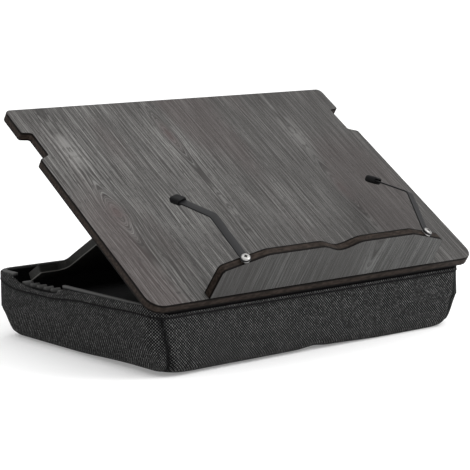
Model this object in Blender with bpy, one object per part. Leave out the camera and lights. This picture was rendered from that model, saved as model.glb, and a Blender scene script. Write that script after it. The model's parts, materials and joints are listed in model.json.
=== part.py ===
"""Lap desk: a tilting writing board on a storage tray with a soft lap cushion.

The tray stands on a filled pad and is wrapped in woven cloth. The board turns
on two hinges inside the tray's front wall. A T-shaped support panel, hinged
under the board, props it up on toothed racks on the tray's side walls. Two
bent steel arms on the page ledge hold pages open.

World frame: X to the right, Y to the rear, Z up, in metres, with the origin
under the middle of the whole desk. Run it in Blender 4.5 with
blender --background --python part.py, or from the text editor.
"""

import math

import bmesh
import bpy
from mathutils import Matrix, Vector

# Fits and facets
FIT_GAP = 0.0003
OVERRUN = 0.004
ARC_STEPS = 6
ROUND_SIDES = 24
SMALL_ROUND_SIDES = 16
SMOOTH_ANGLE = math.radians(35)

# Pose of the photograph
BOARD_TILT = math.radians(34)
STEEPEST_TILT = math.radians(52)
LEFT_ARM_SWING = math.radians(5.7)
RIGHT_ARM_SWING = math.radians(10)

# Pad
PAD_HEIGHT = 0.031
PAD_CORNER_RADIUS = 0.020
PAD_END_DRAW_IN = 0.046
PAD_SIDE_DRAW_IN = 0.024
PAD_SOFT_HEIGHT = 0.0305
PAD_FLAT_DEPTH = 0.0005
PAD_VALLEY_HEIGHT = 0.0035
PAD_VALLEY_HALF_WIDTH = 0.022

# Tray
TRAY_WIDTH = 0.383
TRAY_DEPTH = 0.263
TRAY_HEIGHT = 0.0351
TRAY_WALL = 0.0032
TRAY_FLOOR = 0.0025
TRAY_CORNER_RADIUS = 0.0185
TRAY_INNER_FILLET = 0.003
BLOCK_WIDTH = 0.0036
BLOCK_SETBACK = 0.0015
BLOCK_RADIUS = 0.001
FRONT_WALL_DROP = 0.0075
FRONT_RELIEF = 0.0008

# Dip of the side walls and of the hem over the racks
DIP_REVEAL = 0.0026
DIP_FRONT_CLEARANCE = 0.006
DIP_REAR_CLEARANCE = 0.010
HEM_RAMP_INSET = 0.022
HEM_RAMP_RUN = 0.030
DIP_CORNER_RADIUS = 0.004

# Woven cover
CLOTH_THICKNESS = 0.0012
PIPING_RADIUS = 0.0011
SEAM_RISE = 0.024
SEAM_WAVE = 0.004
SEAM_FRONT_SPAN = 0.0197
SEAM_RAMP = 0.0444
SEAM_LEVEL_INSET = 0.0214
HEM_DROP = 0.0008
CLOTH_SIDE_STEPS = 16

# Board
BOARD_WIDTH = 0.400
BOARD_DEPTH = 0.280
BOARD_THICKNESS = 0.009
BOARD_FRONT_RADIUS = 0.015
BOARD_REAR_RADIUS = 0.006
BOARD_EDGE_BEVEL = 0.0006
CLOSED_GAP = 0.0003
NOTCH_LENGTH = 0.039
NOTCH_DEPTH = 0.011
NOTCH_REAR_MARGIN = 0.035
NOTCH_FRONT_SLANT = 0.005
NOTCH_REAR_SLANT = 0.0015
NOTCH_RADIUS = 0.0025

# Page ledge
LEDGE_THICKNESS = 0.009
LEDGE_END_MARGIN = 0.0615
LEDGE_HEIGHT = 0.045
LEDGE_SHOULDER_HEIGHT = 0.032
LEDGE_SIDE_SLANT = 0.0024
LEDGE_CORNER_RADIUS = 0.006
LEDGE_RAMP_ANGLE = math.radians(15.6)
LEDGE_HUMP_RADIUS = 0.024
LEDGE_DIP_DEPTH = 0.007
LEDGE_DIP_HALF_WIDTH = 0.027
LEDGE_EDGE_BEVEL = 0.0006
LEDGE_DIP_STEPS = 14

# Butt hinges, front and support
HINGE_LENGTH = 0.038
HINGE_PLATE_WIDTH = 0.022
KNUCKLE_RADIUS = 0.0025
KNUCKLE_SHEET = 0.0011
KNUCKLE_SPACE = 0.0004
KNUCKLE_WRAP = math.radians(290)
MIDDLE_KNUCKLE_SHARE = 0.33
PIN_RADIUS = 0.0011
PIN_OVERHANG = 0.0005
FRONT_HINGE_INSET = 0.0715
SUPPORT_HINGE_INSET = 0.0505
HINGE_SETBACK = 0.010
HINGE_HOLE_RADIUS = 0.0016
HINGE_HOLE_SINK = 0.0007
HINGE_HOLE_SHARES = (-0.34, 0.34)
HINGE_HOLE_REACH_SHARE = 0.62

# Support panel
HINGE_SPACING = 0.117
FOOT_REAR_CLEARANCE = 0.0501
FOOT_BELOW_RIM = 0.00628
LEG_THICKNESS = 0.009
LEG_BAR_DEPTH = 0.021
LEG_BAR_CLEARANCE = 0.0043
LEG_BAR_OVERHANG = 0.0285
LEG_FILLET_RADIUS = 0.010
LEG_CORNER_RADIUS = 0.0015
LEG_EDGE_BEVEL = 0.0008

# Racks
RACK_WIDTH = 0.010
RACK_HEIGHT = 0.017
RACK_PITCH = 0.0118
RACK_TOOTH_HEIGHT = 0.0055
RACK_TOOTH_FLAT = 0.0014
RACK_NOTCHES = 5
RACK_REAR_LAND = 0.0038
RACK_FRONT_LAND = 0.007
RACK_EDGE_BEVEL = 0.0004
FOOT_CLEARANCE = 0.0006

# Page arms
PIVOT_END_INSET = 0.0265
STRIP_WIDTH = 0.0075
STRIP_THICKNESS = 0.0015
EYE_RADIUS = 0.005
EYE_FLAT = 0.0055
EYE_STEPS = 6
ELBOW_REACH = 0.0488
ELBOW_HEIGHT = 0.0107
TIP_REACH = 0.1039
TIP_DROP = 0.014
BEND_RADIUS = 0.009
BEND_STEPS = 3
CAP_LENGTH = 0.013
CAP_WIDTH = 0.0092
CAP_THICKNESS = 0.0052
CAP_END_WALL = 0.0028
CAP_ROUNDING = 0.0018
WASHER_RADIUS = 0.0046
WASHER_THICKNESS = 0.0008
SHANK_RADIUS = 0.0016
SHANK_LENGTH = 0.014
SHANK_CLEARANCE = 0.0003
HEAD_RADIUS = 0.0048
HEAD_HEIGHT = 0.0028
HEAD_RIM = 0.0006
CROSS_LENGTH = 0.0042
CROSS_WIDTH = 0.0009
CROSS_DEPTH = 0.0014
HEAD_STEPS = 5

# Each pad ring's inset as shares of PAD_END_DRAW_IN and of PAD_SIDE_DRAW_IN, then its height as a
# share of PAD_SOFT_HEIGHT
PAD_RING_SHARES = (
    (0.0, 0.0, 1.0), (0.065, 0.013, 0.8), (0.13, 0.033, 0.6), (0.185, 0.063, 0.42), (0.24, 0.117, 0.27),
    (0.326, 0.25, 0.15), (0.52, 0.417, 0.07), (0.783, 0.625, 0.02), (1.0, 1.0, 0.0),
)
PAD_COLUMN_SHARES = (0.0, 0.035, 0.08, 0.14, 0.3, 0.6)
PAD_ROW_SHARES = (0.0, 0.5)

# The seam's rise, as a share of SEAM_WAVE, at its places along the side
SEAM_WAVE_SHARES = (0.0, 0.55, 0.1, -0.9, -0.95, 0.85)

# Places and sizes that follow from the values above
TRAY_BASE = PAD_HEIGHT + FIT_GAP
RIM_HEIGHT = TRAY_BASE + TRAY_HEIGHT
FLOOR_HEIGHT = TRAY_BASE + TRAY_FLOOR
TRAY_INNER_HALF_WIDTH = TRAY_WIDTH / 2 - TRAY_WALL
TRAY_INNER_HALF_DEPTH = TRAY_DEPTH / 2 - TRAY_WALL
CLOTH_OFFSET = FIT_GAP + CLOTH_THICKNESS
HINGE_DROP = BOARD_THICKNESS + FIT_GAP + KNUCKLE_RADIUS
AXIS_BELOW_BOARD = HINGE_DROP - BOARD_THICKNESS
FRONT_AXIS_Y = -TRAY_INNER_HALF_DEPTH + FIT_GAP + KNUCKLE_RADIUS
FRONT_AXIS_Z = RIM_HEIGHT + CLOSED_GAP - AXIS_BELOW_BOARD
LEG_TOP = KNUCKLE_RADIUS - FIT_GAP
LEG_BOTTOM = LEG_TOP - LEG_THICKNESS
LEG_BAR_HALF_LENGTH = TRAY_INNER_HALF_WIDTH - LEG_BAR_CLEARANCE
LEG_PLATE_HALF_WIDTH = LEG_BAR_HALF_LENGTH - LEG_BAR_OVERHANG
LEDGE_HALF_LENGTH = BOARD_WIDTH / 2 - LEDGE_END_MARGIN
LEDGE_RAMP_START = LEDGE_HALF_LENGTH - LEDGE_SIDE_SLANT
PIVOT_X = LEDGE_HALF_LENGTH - PIVOT_END_INSET
PIVOT_HEIGHT = LEDGE_SHOULDER_HEIGHT + (LEDGE_RAMP_START - PIVOT_X) * math.tan(LEDGE_RAMP_ANGLE)
STRIP_BASE = FIT_GAP + WASHER_THICKNESS + FIT_GAP
FRONT_HINGE_X = TRAY_WIDTH / 2 - FRONT_HINGE_INSET
SUPPORT_HINGE_X = LEG_PLATE_HALF_WIDTH - SUPPORT_HINGE_INSET
SEAM_HEIGHT = TRAY_BASE + SEAM_RISE
FOOT_Y = TRAY_INNER_HALF_DEPTH - FOOT_REAR_CLEARANCE
FOOT_Z = RIM_HEIGHT - FOOT_BELOW_RIM
CREST_HEIGHT = FOOT_Z - FOOT_CLEARANCE
RACK_REAR = FOOT_Y + RACK_PITCH / 2 + RACK_REAR_LAND
RACK_FRONT = FOOT_Y - RACK_PITCH * (RACK_NOTCHES - 1) - RACK_PITCH / 2 - RACK_FRONT_LAND
DIP_HEIGHT = CREST_HEIGHT - DIP_REVEAL
DIP_FRONT = RACK_FRONT - DIP_FRONT_CLEARANCE
DIP_REAR = RACK_REAR + DIP_REAR_CLEARANCE


def turned(point, angle):
    """Returns a (y, z) point turned about the origin, y towards z."""
    y, z = point
    return (
        y * math.cos(angle) - z * math.sin(angle),
        y * math.sin(angle) + z * math.cos(angle),
    )


def leg_reach():
    """Returns the support's length and slope, which put its lower foot corner on the racks."""
    hinge_y, hinge_z = turned((HINGE_SPACING, 0), BOARD_TILT)
    reach_y = FOOT_Y - FRONT_AXIS_Y - hinge_y
    reach_z = FOOT_Z - FRONT_AXIS_Z - hinge_z
    length = math.sqrt(reach_y ** 2 + reach_z ** 2 - LEG_BOTTOM ** 2)
    slope = math.atan2(LEG_BOTTOM, length) - math.atan2(reach_z, reach_y)
    return length, slope


LEG_LENGTH, LEG_SLOPE = leg_reach()


def desk_middle():
    """Returns the y of the middle of the whole desk, ledge to piping, in the tray's own frame."""
    ledge_y, _ = turned((-HINGE_SETBACK, HINGE_DROP + LEDGE_HEIGHT), BOARD_TILT)
    front = FRONT_AXIS_Y + ledge_y
    rear = TRAY_DEPTH / 2 + FIT_GAP + 2 * PIPING_RADIUS
    return (front + rear) / 2


def clear_scene():
    """Removes every object that the scene starts with."""
    for item in list(bpy.data.objects):
        bpy.data.objects.remove(item, do_unlink=True)


def material(name, colour, roughness, metallic=0.0):
    """Returns a Principled material of one colour."""
    made = bpy.data.materials.new(name)
    made.use_nodes = True
    shader = made.node_tree.nodes["Principled BSDF"]
    shader.inputs["Base Color"].default_value = (*colour, 1.0)
    shader.inputs["Roughness"].default_value = roughness
    shader.inputs["Metallic"].default_value = metallic
    made.diffuse_color = (*colour, 1.0)
    return made


def empty(name, parent=None, location=(0, 0, 0), rotation=(0, 0, 0)):
    """Adds an empty that carries other pieces, for instance on a joint's axis."""
    holder = bpy.data.objects.new(name, None)
    bpy.context.scene.collection.objects.link(holder)
    holder.parent = parent
    holder.location = location
    holder.rotation_euler = rotation
    return holder


def piece(name, bm, parent, finish=None, location=(0, 0, 0), rotation=(0, 0, 0)):
    """Turns a bmesh into a placed object, smooth on its round stretches, and frees the bmesh."""
    bmesh.ops.recalc_face_normals(bm, faces=bm.faces)
    mesh = bpy.data.meshes.new(name)
    bm.to_mesh(mesh)
    bm.free()
    mesh.shade_smooth()
    mesh.set_sharp_from_angle(angle=SMOOTH_ANGLE)
    made = bpy.data.objects.new(name, mesh)
    bpy.context.scene.collection.objects.link(made)
    made.parent = parent
    made.location = location
    made.rotation_euler = rotation
    if finish is not None:
        mesh.materials.append(finish)
    return made


def cut(target, cutter):
    """Subtracts a cutter from a piece with a Boolean modifier and hides the cutter."""
    cutter.hide_render = True
    cutter.display_type = "WIRE"
    change = target.modifiers.new(cutter.name, "BOOLEAN")
    change.operation = "DIFFERENCE"
    change.solver = "EXACT"
    change.object = cutter


def bevel(target, width, segments=2):
    """Rounds the sharp edges of a piece with a Bevel modifier."""
    change = target.modifiers.new("edges", "BEVEL")
    change.width = width
    change.segments = segments
    change.limit_method = "ANGLE"
    change.angle_limit = SMOOTH_ANGLE


def rounded(corners, steps=ARC_STEPS):
    """Returns the points of a closed outline whose corners (x, y, radius) are arcs."""
    points = []
    for index, (x, y, radius) in enumerate(corners):
        corner = Vector((x, y))
        before = Vector(corners[index - 1][:2]) - corner
        after = Vector(corners[(index + 1) % len(corners)][:2]) - corner
        if radius <= 0:
            points.append(corner)
            continue
        before.normalize()
        after.normalize()
        half = before.angle(after) / 2
        middle = (before + after).normalized()
        centre = corner + middle * (radius / math.sin(half))
        start = corner + before * (radius / math.tan(half)) - centre
        turn = start.angle_signed(corner + after * (radius / math.tan(half)) - centre)
        for step in range(steps + 1):
            points.append(centre + Matrix.Rotation(-turn * step / steps, 2) @ start)
    return points


def rounded_rectangle(half_width, half_depth, radius, side_steps=1):
    """Returns a rounded rectangle whose left and right sides are split evenly."""
    points = rounded([
        (half_width, -half_depth, radius),
        (half_width, half_depth, radius),
        (-half_width, half_depth, radius),
        (-half_width, -half_depth, radius),
    ])
    divided = []
    for index, point in enumerate(points):
        divided.append(point)
        following = points[(index + 1) % len(points)]
        if abs(following.x - point.x) < FIT_GAP and abs(following.y - point.y) > radius:
            divided.extend(point.lerp(following, step / side_steps) for step in range(1, side_steps))
    return divided


def prism(outline, sweep):
    """Returns a bmesh of a flat outline, given as 3D points, carried along a sweep vector."""
    bm = bmesh.new()
    base = bm.faces.new([bm.verts.new(point) for point in outline])
    grown = bmesh.ops.extrude_face_region(bm, geom=[base])
    moved = [part for part in grown["geom"] if isinstance(part, bmesh.types.BMVert)]
    bmesh.ops.translate(bm, verts=moved, vec=sweep)
    return bm


def upright(outline, low, high):
    """Returns a bmesh of an (x, y) outline that stands between two heights."""
    return prism([(x, y, low) for x, y in outline], Vector((0, 0, high - low)))


def across(outline, half_width, middle=0):
    """Returns a bmesh of a (y, z) outline carried along X, half_width each way."""
    return prism([(middle - half_width, y, z) for y, z in outline], Vector((2 * half_width, 0, 0)))


def turned_solid(profile, sides):
    """Returns a bmesh of a closed (radius, z) profile spun about Z; radius 0 lies on the axis."""
    bm = bmesh.new()
    points = [bm.verts.new((radius, 0, z)) for radius, z in profile]
    count = len(points)
    edges = [bm.edges.new((points[i], points[(i + 1) % count])) for i in range(count)
             if profile[i][0] > 0 or profile[(i + 1) % count][0] > 0]
    bmesh.ops.spin(bm, geom=points + edges, cent=(0, 0, 0), axis=(0, 0, 1), angle=2 * math.pi,
                   steps=sides, use_merge=True)
    bmesh.ops.remove_doubles(bm, verts=bm.verts, dist=FIT_GAP / 100)
    return bm


def rod(radius, low, high, sides=SMALL_ROUND_SIDES):
    """Returns a bmesh of a round bar along Z."""
    bm = bmesh.new()
    bmesh.ops.create_cone(bm, cap_ends=True, segments=sides, radius1=radius, radius2=radius,
                          depth=high - low, matrix=Matrix.Translation((0, 0, (low + high) / 2)))
    return bm


def band(outer, inner, low, high):
    """Returns a bmesh of an upright ring; low and high give a height for each (x, y)."""
    bm = bmesh.new()
    rings = [
        [bm.verts.new((p.x, p.y, low(p))) for p in outer],
        [bm.verts.new((p.x, p.y, high(p))) for p in outer],
        [bm.verts.new((p.x, p.y, high(p))) for p in inner],
        [bm.verts.new((p.x, p.y, low(p))) for p in inner],
    ]
    count = len(outer)
    for ring, following in zip(rings, rings[1:] + rings[:1]):
        for i in range(count):
            k = (i + 1) % count
            bm.faces.new((ring[i], ring[k], following[k], following[i]))
    return bm


def smooth_step(share):
    """Returns a share eased at both ends."""
    return (1 - math.cos(math.pi * share)) / 2


def seam_places():
    """Returns the places along the side where the seam's rise is given, from front to rear."""
    half = TRAY_DEPTH / 2
    return (
        -half, SEAM_FRONT_SPAN - half, RACK_FRONT - SEAM_RAMP, RACK_FRONT + SEAM_LEVEL_INSET, RACK_REAR, half)


def seam_height(point):
    """Returns the seam's height at a point of the cover: it dips over the racks."""
    places = seam_places()
    place = max(places[0], min(places[-1], point.y))
    for index, end in enumerate(places[1:]):
        if place <= end:
            share = smooth_step((place - places[index]) / (end - places[index]))
            low, high = SEAM_WAVE_SHARES[index:index + 2]
            return SEAM_HEIGHT + SEAM_WAVE * (low + (high - low) * share)
    return SEAM_HEIGHT


def pad_outline_point(x, y, end_inset, side_inset):
    """Moves a point of a rectangle's border onto the pad's rounded outline at its two insets."""
    centre = Vector((
        TRAY_WIDTH / 2 + CLOTH_OFFSET - end_inset - PAD_CORNER_RADIUS,
        TRAY_DEPTH / 2 + CLOTH_OFFSET - side_inset - PAD_CORNER_RADIUS,
    ))
    corner = Vector((abs(x), abs(y)))
    if corner.x <= centre.x or corner.y <= centre.y:
        return Vector((x, y))
    moved = centre + (corner - centre).normalized() * PAD_CORNER_RADIUS
    return Vector((math.copysign(moved.x, x), math.copysign(moved.y, y)))


def pad_lines(half_size, draw_in, insets, shares):
    """Returns the grid lines across the pad: the rings' insets, then the middle field."""
    field = half_size - draw_in
    near = [half_size - share * draw_in for share in insets]
    middle = [share * field for share in reversed(shares) if share > 0]
    side = near + middle
    return [-value for value in side] + ([0.0] if 0.0 in shares else []) + side[::-1]


def pad_height(ring, x):
    """Returns the height of the pad's underside on a ring, with the valley between its lobes.

    The lobes would hang a little lower, so they are cut flat where the desk stands on them.
    """
    share = PAD_RING_SHARES[ring][2]
    reach = min(1.0, abs(x) / PAD_VALLEY_HALF_WIDTH)
    valley = PAD_VALLEY_HEIGHT * (1 - smooth_step(reach)) * (1 - share)
    return max(0.0, PAD_SOFT_HEIGHT * share - PAD_FLAT_DEPTH + valley)


def build_pad(parent, cloth):
    """Adds the filled pad: drawn-in sides, two shallow lobes and a flat bottom."""
    bm = bmesh.new()
    end_shares, side_shares, _ = zip(*PAD_RING_SHARES)
    columns = pad_lines(TRAY_WIDTH / 2 + CLOTH_OFFSET, PAD_END_DRAW_IN, end_shares, PAD_COLUMN_SHARES)
    rows = pad_lines(TRAY_DEPTH / 2 + CLOTH_OFFSET, PAD_SIDE_DRAW_IN, side_shares, PAD_ROW_SHARES)
    last_ring = len(PAD_RING_SHARES) - 1
    grid = []
    for j, x in enumerate(columns):
        line = []
        for k, y in enumerate(rows):
            ring = min(j, len(columns) - 1 - j, k, len(rows) - 1 - k, last_ring)
            place = pad_outline_point(
                x, y, end_shares[ring] * PAD_END_DRAW_IN, side_shares[ring] * PAD_SIDE_DRAW_IN)
            line.append(bm.verts.new((place.x, place.y, pad_height(ring, place.x))))
        grid.append(line)
    for j in range(len(columns) - 1):
        for k in range(len(rows) - 1):
            bm.faces.new((grid[j][k], grid[j + 1][k], grid[j + 1][k + 1], grid[j][k + 1]))
    border = [edge for edge in bm.edges if edge.is_boundary]
    grown = bmesh.ops.extrude_edge_only(bm, edges=border)
    top = [part for part in grown["geom"] if isinstance(part, bmesh.types.BMVert)]
    for vert in top:
        vert.co.z = PAD_HEIGHT
    rim = [part for part in grown["geom"] if isinstance(part, bmesh.types.BMEdge) and part.is_boundary]
    bmesh.ops.edgenet_fill(bm, edges=rim)
    return piece("cushion_pad", bm, parent, cloth)


def tray_outline(grow, side_steps=1):
    """Returns the tray's outline, larger by grow all round."""
    return rounded_rectangle(
        TRAY_WIDTH / 2 + grow, TRAY_DEPTH / 2 + grow, TRAY_CORNER_RADIUS + grow, side_steps)


def front_relief(drop):
    """Returns the (y, z) outline that the board's front edge swings through, lowered by drop."""
    wall_top = RIM_HEIGHT - FRONT_WALL_DROP - drop
    lift = AXIS_BELOW_BOARD / math.cos(STEEPEST_TILT) - FRONT_RELIEF - drop
    slope = math.tan(STEEPEST_TILT)
    kink_y = FRONT_AXIS_Y + (wall_top - FRONT_AXIS_Z - lift) / slope
    top_z = RIM_HEIGHT + OVERRUN
    top_y = FRONT_AXIS_Y + (top_z - FRONT_AXIS_Z - lift) / slope
    front_y = -TRAY_DEPTH / 2 - CLOTH_OFFSET - OVERRUN
    return [(front_y, wall_top), (kink_y, wall_top), (top_y, top_z), (front_y, top_z)]


def side_dip(drop, ramp_inset, ramp_run):
    """Returns the (y, z) outline of the dip over the racks, lowered by drop.

    Its rear end slopes up from ramp_inset ahead of the wall's step, over ramp_run.
    """
    low = DIP_HEIGHT - drop
    top = RIM_HEIGHT + OVERRUN
    slope = ramp_run / (RIM_HEIGHT - DIP_HEIGHT)
    ramp_start = DIP_REAR - ramp_inset
    corners = [
        (DIP_FRONT, top, 0),
        (DIP_FRONT, low, DIP_CORNER_RADIUS),
        (ramp_start, low, DIP_CORNER_RADIUS),
        (ramp_start + slope * (top - low), top, 0),
    ]
    return rounded(corners)


def cut_rim(target, parent, drop, ramp_inset, ramp_run):
    """Cuts the front relief and the side dips out of the tray or the hem."""
    half_width = TRAY_WIDTH / 2 + CLOTH_OFFSET + OVERRUN
    outlines = (("front_relief", front_relief(drop)), ("side_dip", side_dip(drop, ramp_inset, ramp_run)))
    for name, outline in outlines:
        cutter = piece(f"{target.name}_{name}", across(outline, half_width), parent)
        cut(target, cutter)


def hollow_outline():
    """Returns the tray's inner outline, narrowed between the rear blocks of its side walls."""
    radius = TRAY_CORNER_RADIUS - TRAY_WALL
    narrow = TRAY_INNER_HALF_WIDTH - BLOCK_WIDTH
    block = DIP_REAR + BLOCK_SETBACK
    right = [
        (TRAY_INNER_HALF_WIDTH, -TRAY_INNER_HALF_DEPTH, radius),
        (TRAY_INNER_HALF_WIDTH, block, 0),
        (narrow, block, BLOCK_RADIUS),
        (narrow, TRAY_INNER_HALF_DEPTH, radius - BLOCK_WIDTH),
    ]
    left = [(-x, y, corner) for x, y, corner in reversed(right)]
    return rounded(right + left)


def build_tray(parent, plastic):
    """Adds the open storage tray with rounded inner edges, rear blocks and a shaped rim."""
    tray = piece("inner_tray", upright(tray_outline(0), TRAY_BASE, RIM_HEIGHT), parent, plastic)
    hollow = upright(hollow_outline(), FLOOR_HEIGHT, RIM_HEIGHT + OVERRUN)
    bottom = [edge for edge in hollow.edges if max(v.co.z for v in edge.verts) < FLOOR_HEIGHT + FIT_GAP]
    bmesh.ops.bevel(hollow, geom=bottom, offset=TRAY_INNER_FILLET, segments=3, profile=0.5, affect="EDGES")
    cut(tray, piece("tray_hollow", hollow, parent))
    cut_rim(tray, parent, 0, 0, 0)
    return tray


def build_cover(parent, cloth, cord):
    """Adds the woven side skirt, the piping along the seam and the hem above it."""
    outer = tray_outline(CLOTH_OFFSET, CLOTH_SIDE_STEPS)
    inner = tray_outline(FIT_GAP, CLOTH_SIDE_STEPS)
    reach = PIPING_RADIUS + FIT_GAP
    skirt = band(outer, inner, lambda p: TRAY_BASE, lambda p: seam_height(p) - reach)
    piece("side_skirt", skirt, parent, cloth)
    hem = band(outer, inner, lambda p: seam_height(p) + reach, lambda p: RIM_HEIGHT - HEM_DROP)
    cut_rim(piece("rim_band", hem, parent, cloth), parent, HEM_DROP, HEM_RAMP_INSET, HEM_RAMP_RUN)
    route = tray_outline(FIT_GAP + PIPING_RADIUS, CLOTH_SIDE_STEPS)
    curve = bpy.data.curves.new("band_piping", "CURVE")
    curve.dimensions = "3D"
    curve.bevel_depth = PIPING_RADIUS
    curve.bevel_resolution = 1
    line = curve.splines.new("POLY")
    line.points.add(len(route) - 1)
    for point, place in zip(line.points, route):
        point.co = (place.x, place.y, seam_height(place), 1.0)
    line.use_cyclic_u = True
    curve.materials.append(cord)
    piping = bpy.data.objects.new("band_piping", curve)
    bpy.context.scene.collection.objects.link(piping)
    piping.parent = parent


def rack_outline():
    """Returns the (y, z) outline of a rack: one V notch for each tilt of the board."""
    low = CREST_HEIGHT - RACK_TOOTH_HEIGHT
    points = [(RACK_FRONT, CREST_HEIGHT - RACK_HEIGHT), (RACK_FRONT, CREST_HEIGHT)]
    for notch in range(RACK_NOTCHES - 1, -1, -1):
        middle = FOOT_Y - RACK_PITCH * notch
        points.append((middle - (RACK_PITCH - RACK_TOOTH_FLAT) / 2, CREST_HEIGHT))
        points.append((middle - RACK_TOOTH_FLAT / 2, low))
        points.append((middle + RACK_TOOTH_FLAT / 2, low))
        points.append((middle + (RACK_PITCH - RACK_TOOTH_FLAT) / 2, CREST_HEIGHT))
    points += [(RACK_REAR, CREST_HEIGHT), (RACK_REAR, CREST_HEIGHT - RACK_HEIGHT)]
    return points


def build_rack(parent, plastic, name, side):
    """Adds one rack against the inner side wall."""
    middle = TRAY_INNER_HALF_WIDTH - FIT_GAP - RACK_WIDTH / 2
    rack = piece(name, across(rack_outline(), RACK_WIDTH / 2, side * middle), parent, plastic)
    bevel(rack, RACK_EDGE_BEVEL, 1)
    return rack


def leaf_profile():
    """Returns a rolled leaf's (y, z) points: the plate's four, then the knuckle's."""
    bore = KNUCKLE_RADIUS - KNUCKLE_SHEET
    edge = KNUCKLE_RADIUS + FIT_GAP
    plate = [
        (HINGE_PLATE_WIDTH, bore), (HINGE_PLATE_WIDTH, KNUCKLE_RADIUS), (edge, KNUCKLE_RADIUS), (edge, bore),
    ]
    angles = [math.pi / 2 + KNUCKLE_WRAP * step / SMALL_ROUND_SIDES for step in range(SMALL_ROUND_SIDES + 1)]
    roll = [(KNUCKLE_RADIUS * math.cos(a), KNUCKLE_RADIUS * math.sin(a)) for a in angles]
    roll += [(bore * math.cos(a), bore * math.sin(a)) for a in reversed(angles)]
    return plate, roll


def hinge_leaf(middle_knuckle):
    """Returns a bmesh of one leaf along X: a plate on +Y whose outer face is at +Z.

    The plate runs the hinge's whole length. The leaf has either the middle
    knuckle or the two outer ones.
    """
    half = HINGE_LENGTH / 2
    inner = HINGE_LENGTH * MIDDLE_KNUCKLE_SHARE / 2
    if middle_knuckle:
        stations = [-half, -inner, inner, half]
    else:
        stations = [-half, -inner - KNUCKLE_SPACE, inner + KNUCKLE_SPACE, half]
    rolled = [middle_knuckle == (span == 1) for span in range(3)]
    plate, roll = leaf_profile()
    bm = bmesh.new()
    rings = [([bm.verts.new((x, y, z)) for y, z in plate], [bm.verts.new((x, y, z)) for y, z in roll])
             for x in stations]
    for span, has_knuckle in enumerate(rolled):
        start, end = (section_points(rings[i], has_knuckle) for i in (span, span + 1))
        for i in range(len(start)):
            k = (i + 1) % len(start)
            bm.faces.new((start[i], start[k], end[k], end[i]))
    bm.faces.new(section_points(rings[0], rolled[0]))
    bm.faces.new(section_points(rings[-1], rolled[-1]))
    for ring in rings[1:-1]:
        bm.faces.new([ring[0][2], *ring[1], ring[0][3]])
    loose = [vert for vert in bm.verts if not vert.link_faces]
    bmesh.ops.delete(bm, geom=loose, context="VERTS")
    return bm


def section_points(ring, has_knuckle):
    """Returns a leaf section's vertices in order, with the knuckle between the plate's inner corners."""
    plate, roll = ring
    if has_knuckle:
        return [plate[0], plate[1], plate[2], *roll, plate[3]]
    return plate


def add_leaf(name, parent, steel, middle_knuckle, location, rotation):
    """Adds a hinge leaf with countersunk screw holes."""
    leaf = piece(name, hinge_leaf(middle_knuckle), parent, steel, location, rotation)
    inner_face = KNUCKLE_RADIUS - KNUCKLE_SHEET
    for index, share in enumerate(HINGE_HOLE_SHARES):
        profile = [
            (0, inner_face - OVERRUN),
            (HINGE_HOLE_RADIUS + HINGE_HOLE_SINK + OVERRUN, inner_face - OVERRUN),
            (HINGE_HOLE_RADIUS, inner_face + HINGE_HOLE_SINK),
            (HINGE_HOLE_RADIUS, KNUCKLE_RADIUS + OVERRUN),
            (0, KNUCKLE_RADIUS + OVERRUN),
        ]
        place = Vector((HINGE_LENGTH * share, HINGE_PLATE_WIDTH * HINGE_HOLE_REACH_SHARE, 0))
        cutter = piece(f"{name}_hole_{index}", turned_solid(profile, SMALL_ROUND_SIDES), leaf, location=place)
        cut(leaf, cutter)
    return leaf


def add_pin(name, parent, steel, location):
    """Adds a hinge pin along X."""
    half = HINGE_LENGTH / 2 + PIN_OVERHANG
    pin = piece(name, rod(PIN_RADIUS, -half, half), parent, steel, location, (0, math.pi / 2, 0))
    bevel(pin, PIN_RADIUS / 5, 1)
    return pin


def build_front_hinge(name, side, tray_frame, board_axis, steel):
    """Adds a hinge between the tray's front wall and the board's underside."""
    x = side * FRONT_HINGE_X
    on_wall = (-math.pi / 2, 0, math.pi)
    add_leaf(f"{name}_tray_leaf", tray_frame, steel, True, (x, FRONT_AXIS_Y, FRONT_AXIS_Z), on_wall)
    add_leaf(f"{name}_board_leaf", board_axis, steel, False, (x, 0, 0), (0, 0, 0))
    add_pin(f"{name}_pin", tray_frame, steel, (x, FRONT_AXIS_Y, FRONT_AXIS_Z))


def build_support_hinge(name, side, board_axis, support_axis, steel):
    """Adds a hinge between the board's underside and the support panel."""
    x = side * SUPPORT_HINGE_X
    add_leaf(f"{name}_board_leaf", board_axis, steel, True, (x, HINGE_SPACING, 0), (0, 0, math.pi))
    add_leaf(f"{name}_leg_leaf", support_axis, steel, False, (x, 0, 0), (0, 0, 0))
    add_pin(f"{name}_pin", board_axis, steel, (x, HINGE_SPACING, 0))


def board_outline():
    """Returns the board's (x, y) outline with a notch in each side edge."""
    half = BOARD_WIDTH / 2
    rear = BOARD_DEPTH - NOTCH_REAR_MARGIN
    front = rear - NOTCH_LENGTH
    wall = half - NOTCH_DEPTH
    right = [
        (half, 0, BOARD_FRONT_RADIUS),
        (half, front, NOTCH_RADIUS),
        (wall, front + NOTCH_FRONT_SLANT, NOTCH_RADIUS),
        (wall, rear - NOTCH_REAR_SLANT, NOTCH_RADIUS),
        (half, rear, NOTCH_RADIUS),
        (half, BOARD_DEPTH, BOARD_REAR_RADIUS),
    ]
    left = [(-x, y, radius) for x, y, radius in reversed(right)]
    return rounded(right + left)


def build_board(face, laminate):
    """Adds the board; its top is at height 0 of the face frame."""
    board = piece("top_board", upright(board_outline(), -BOARD_THICKNESS, 0), face, laminate)
    bevel(board, BOARD_EDGE_BEVEL)
    return board


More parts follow.
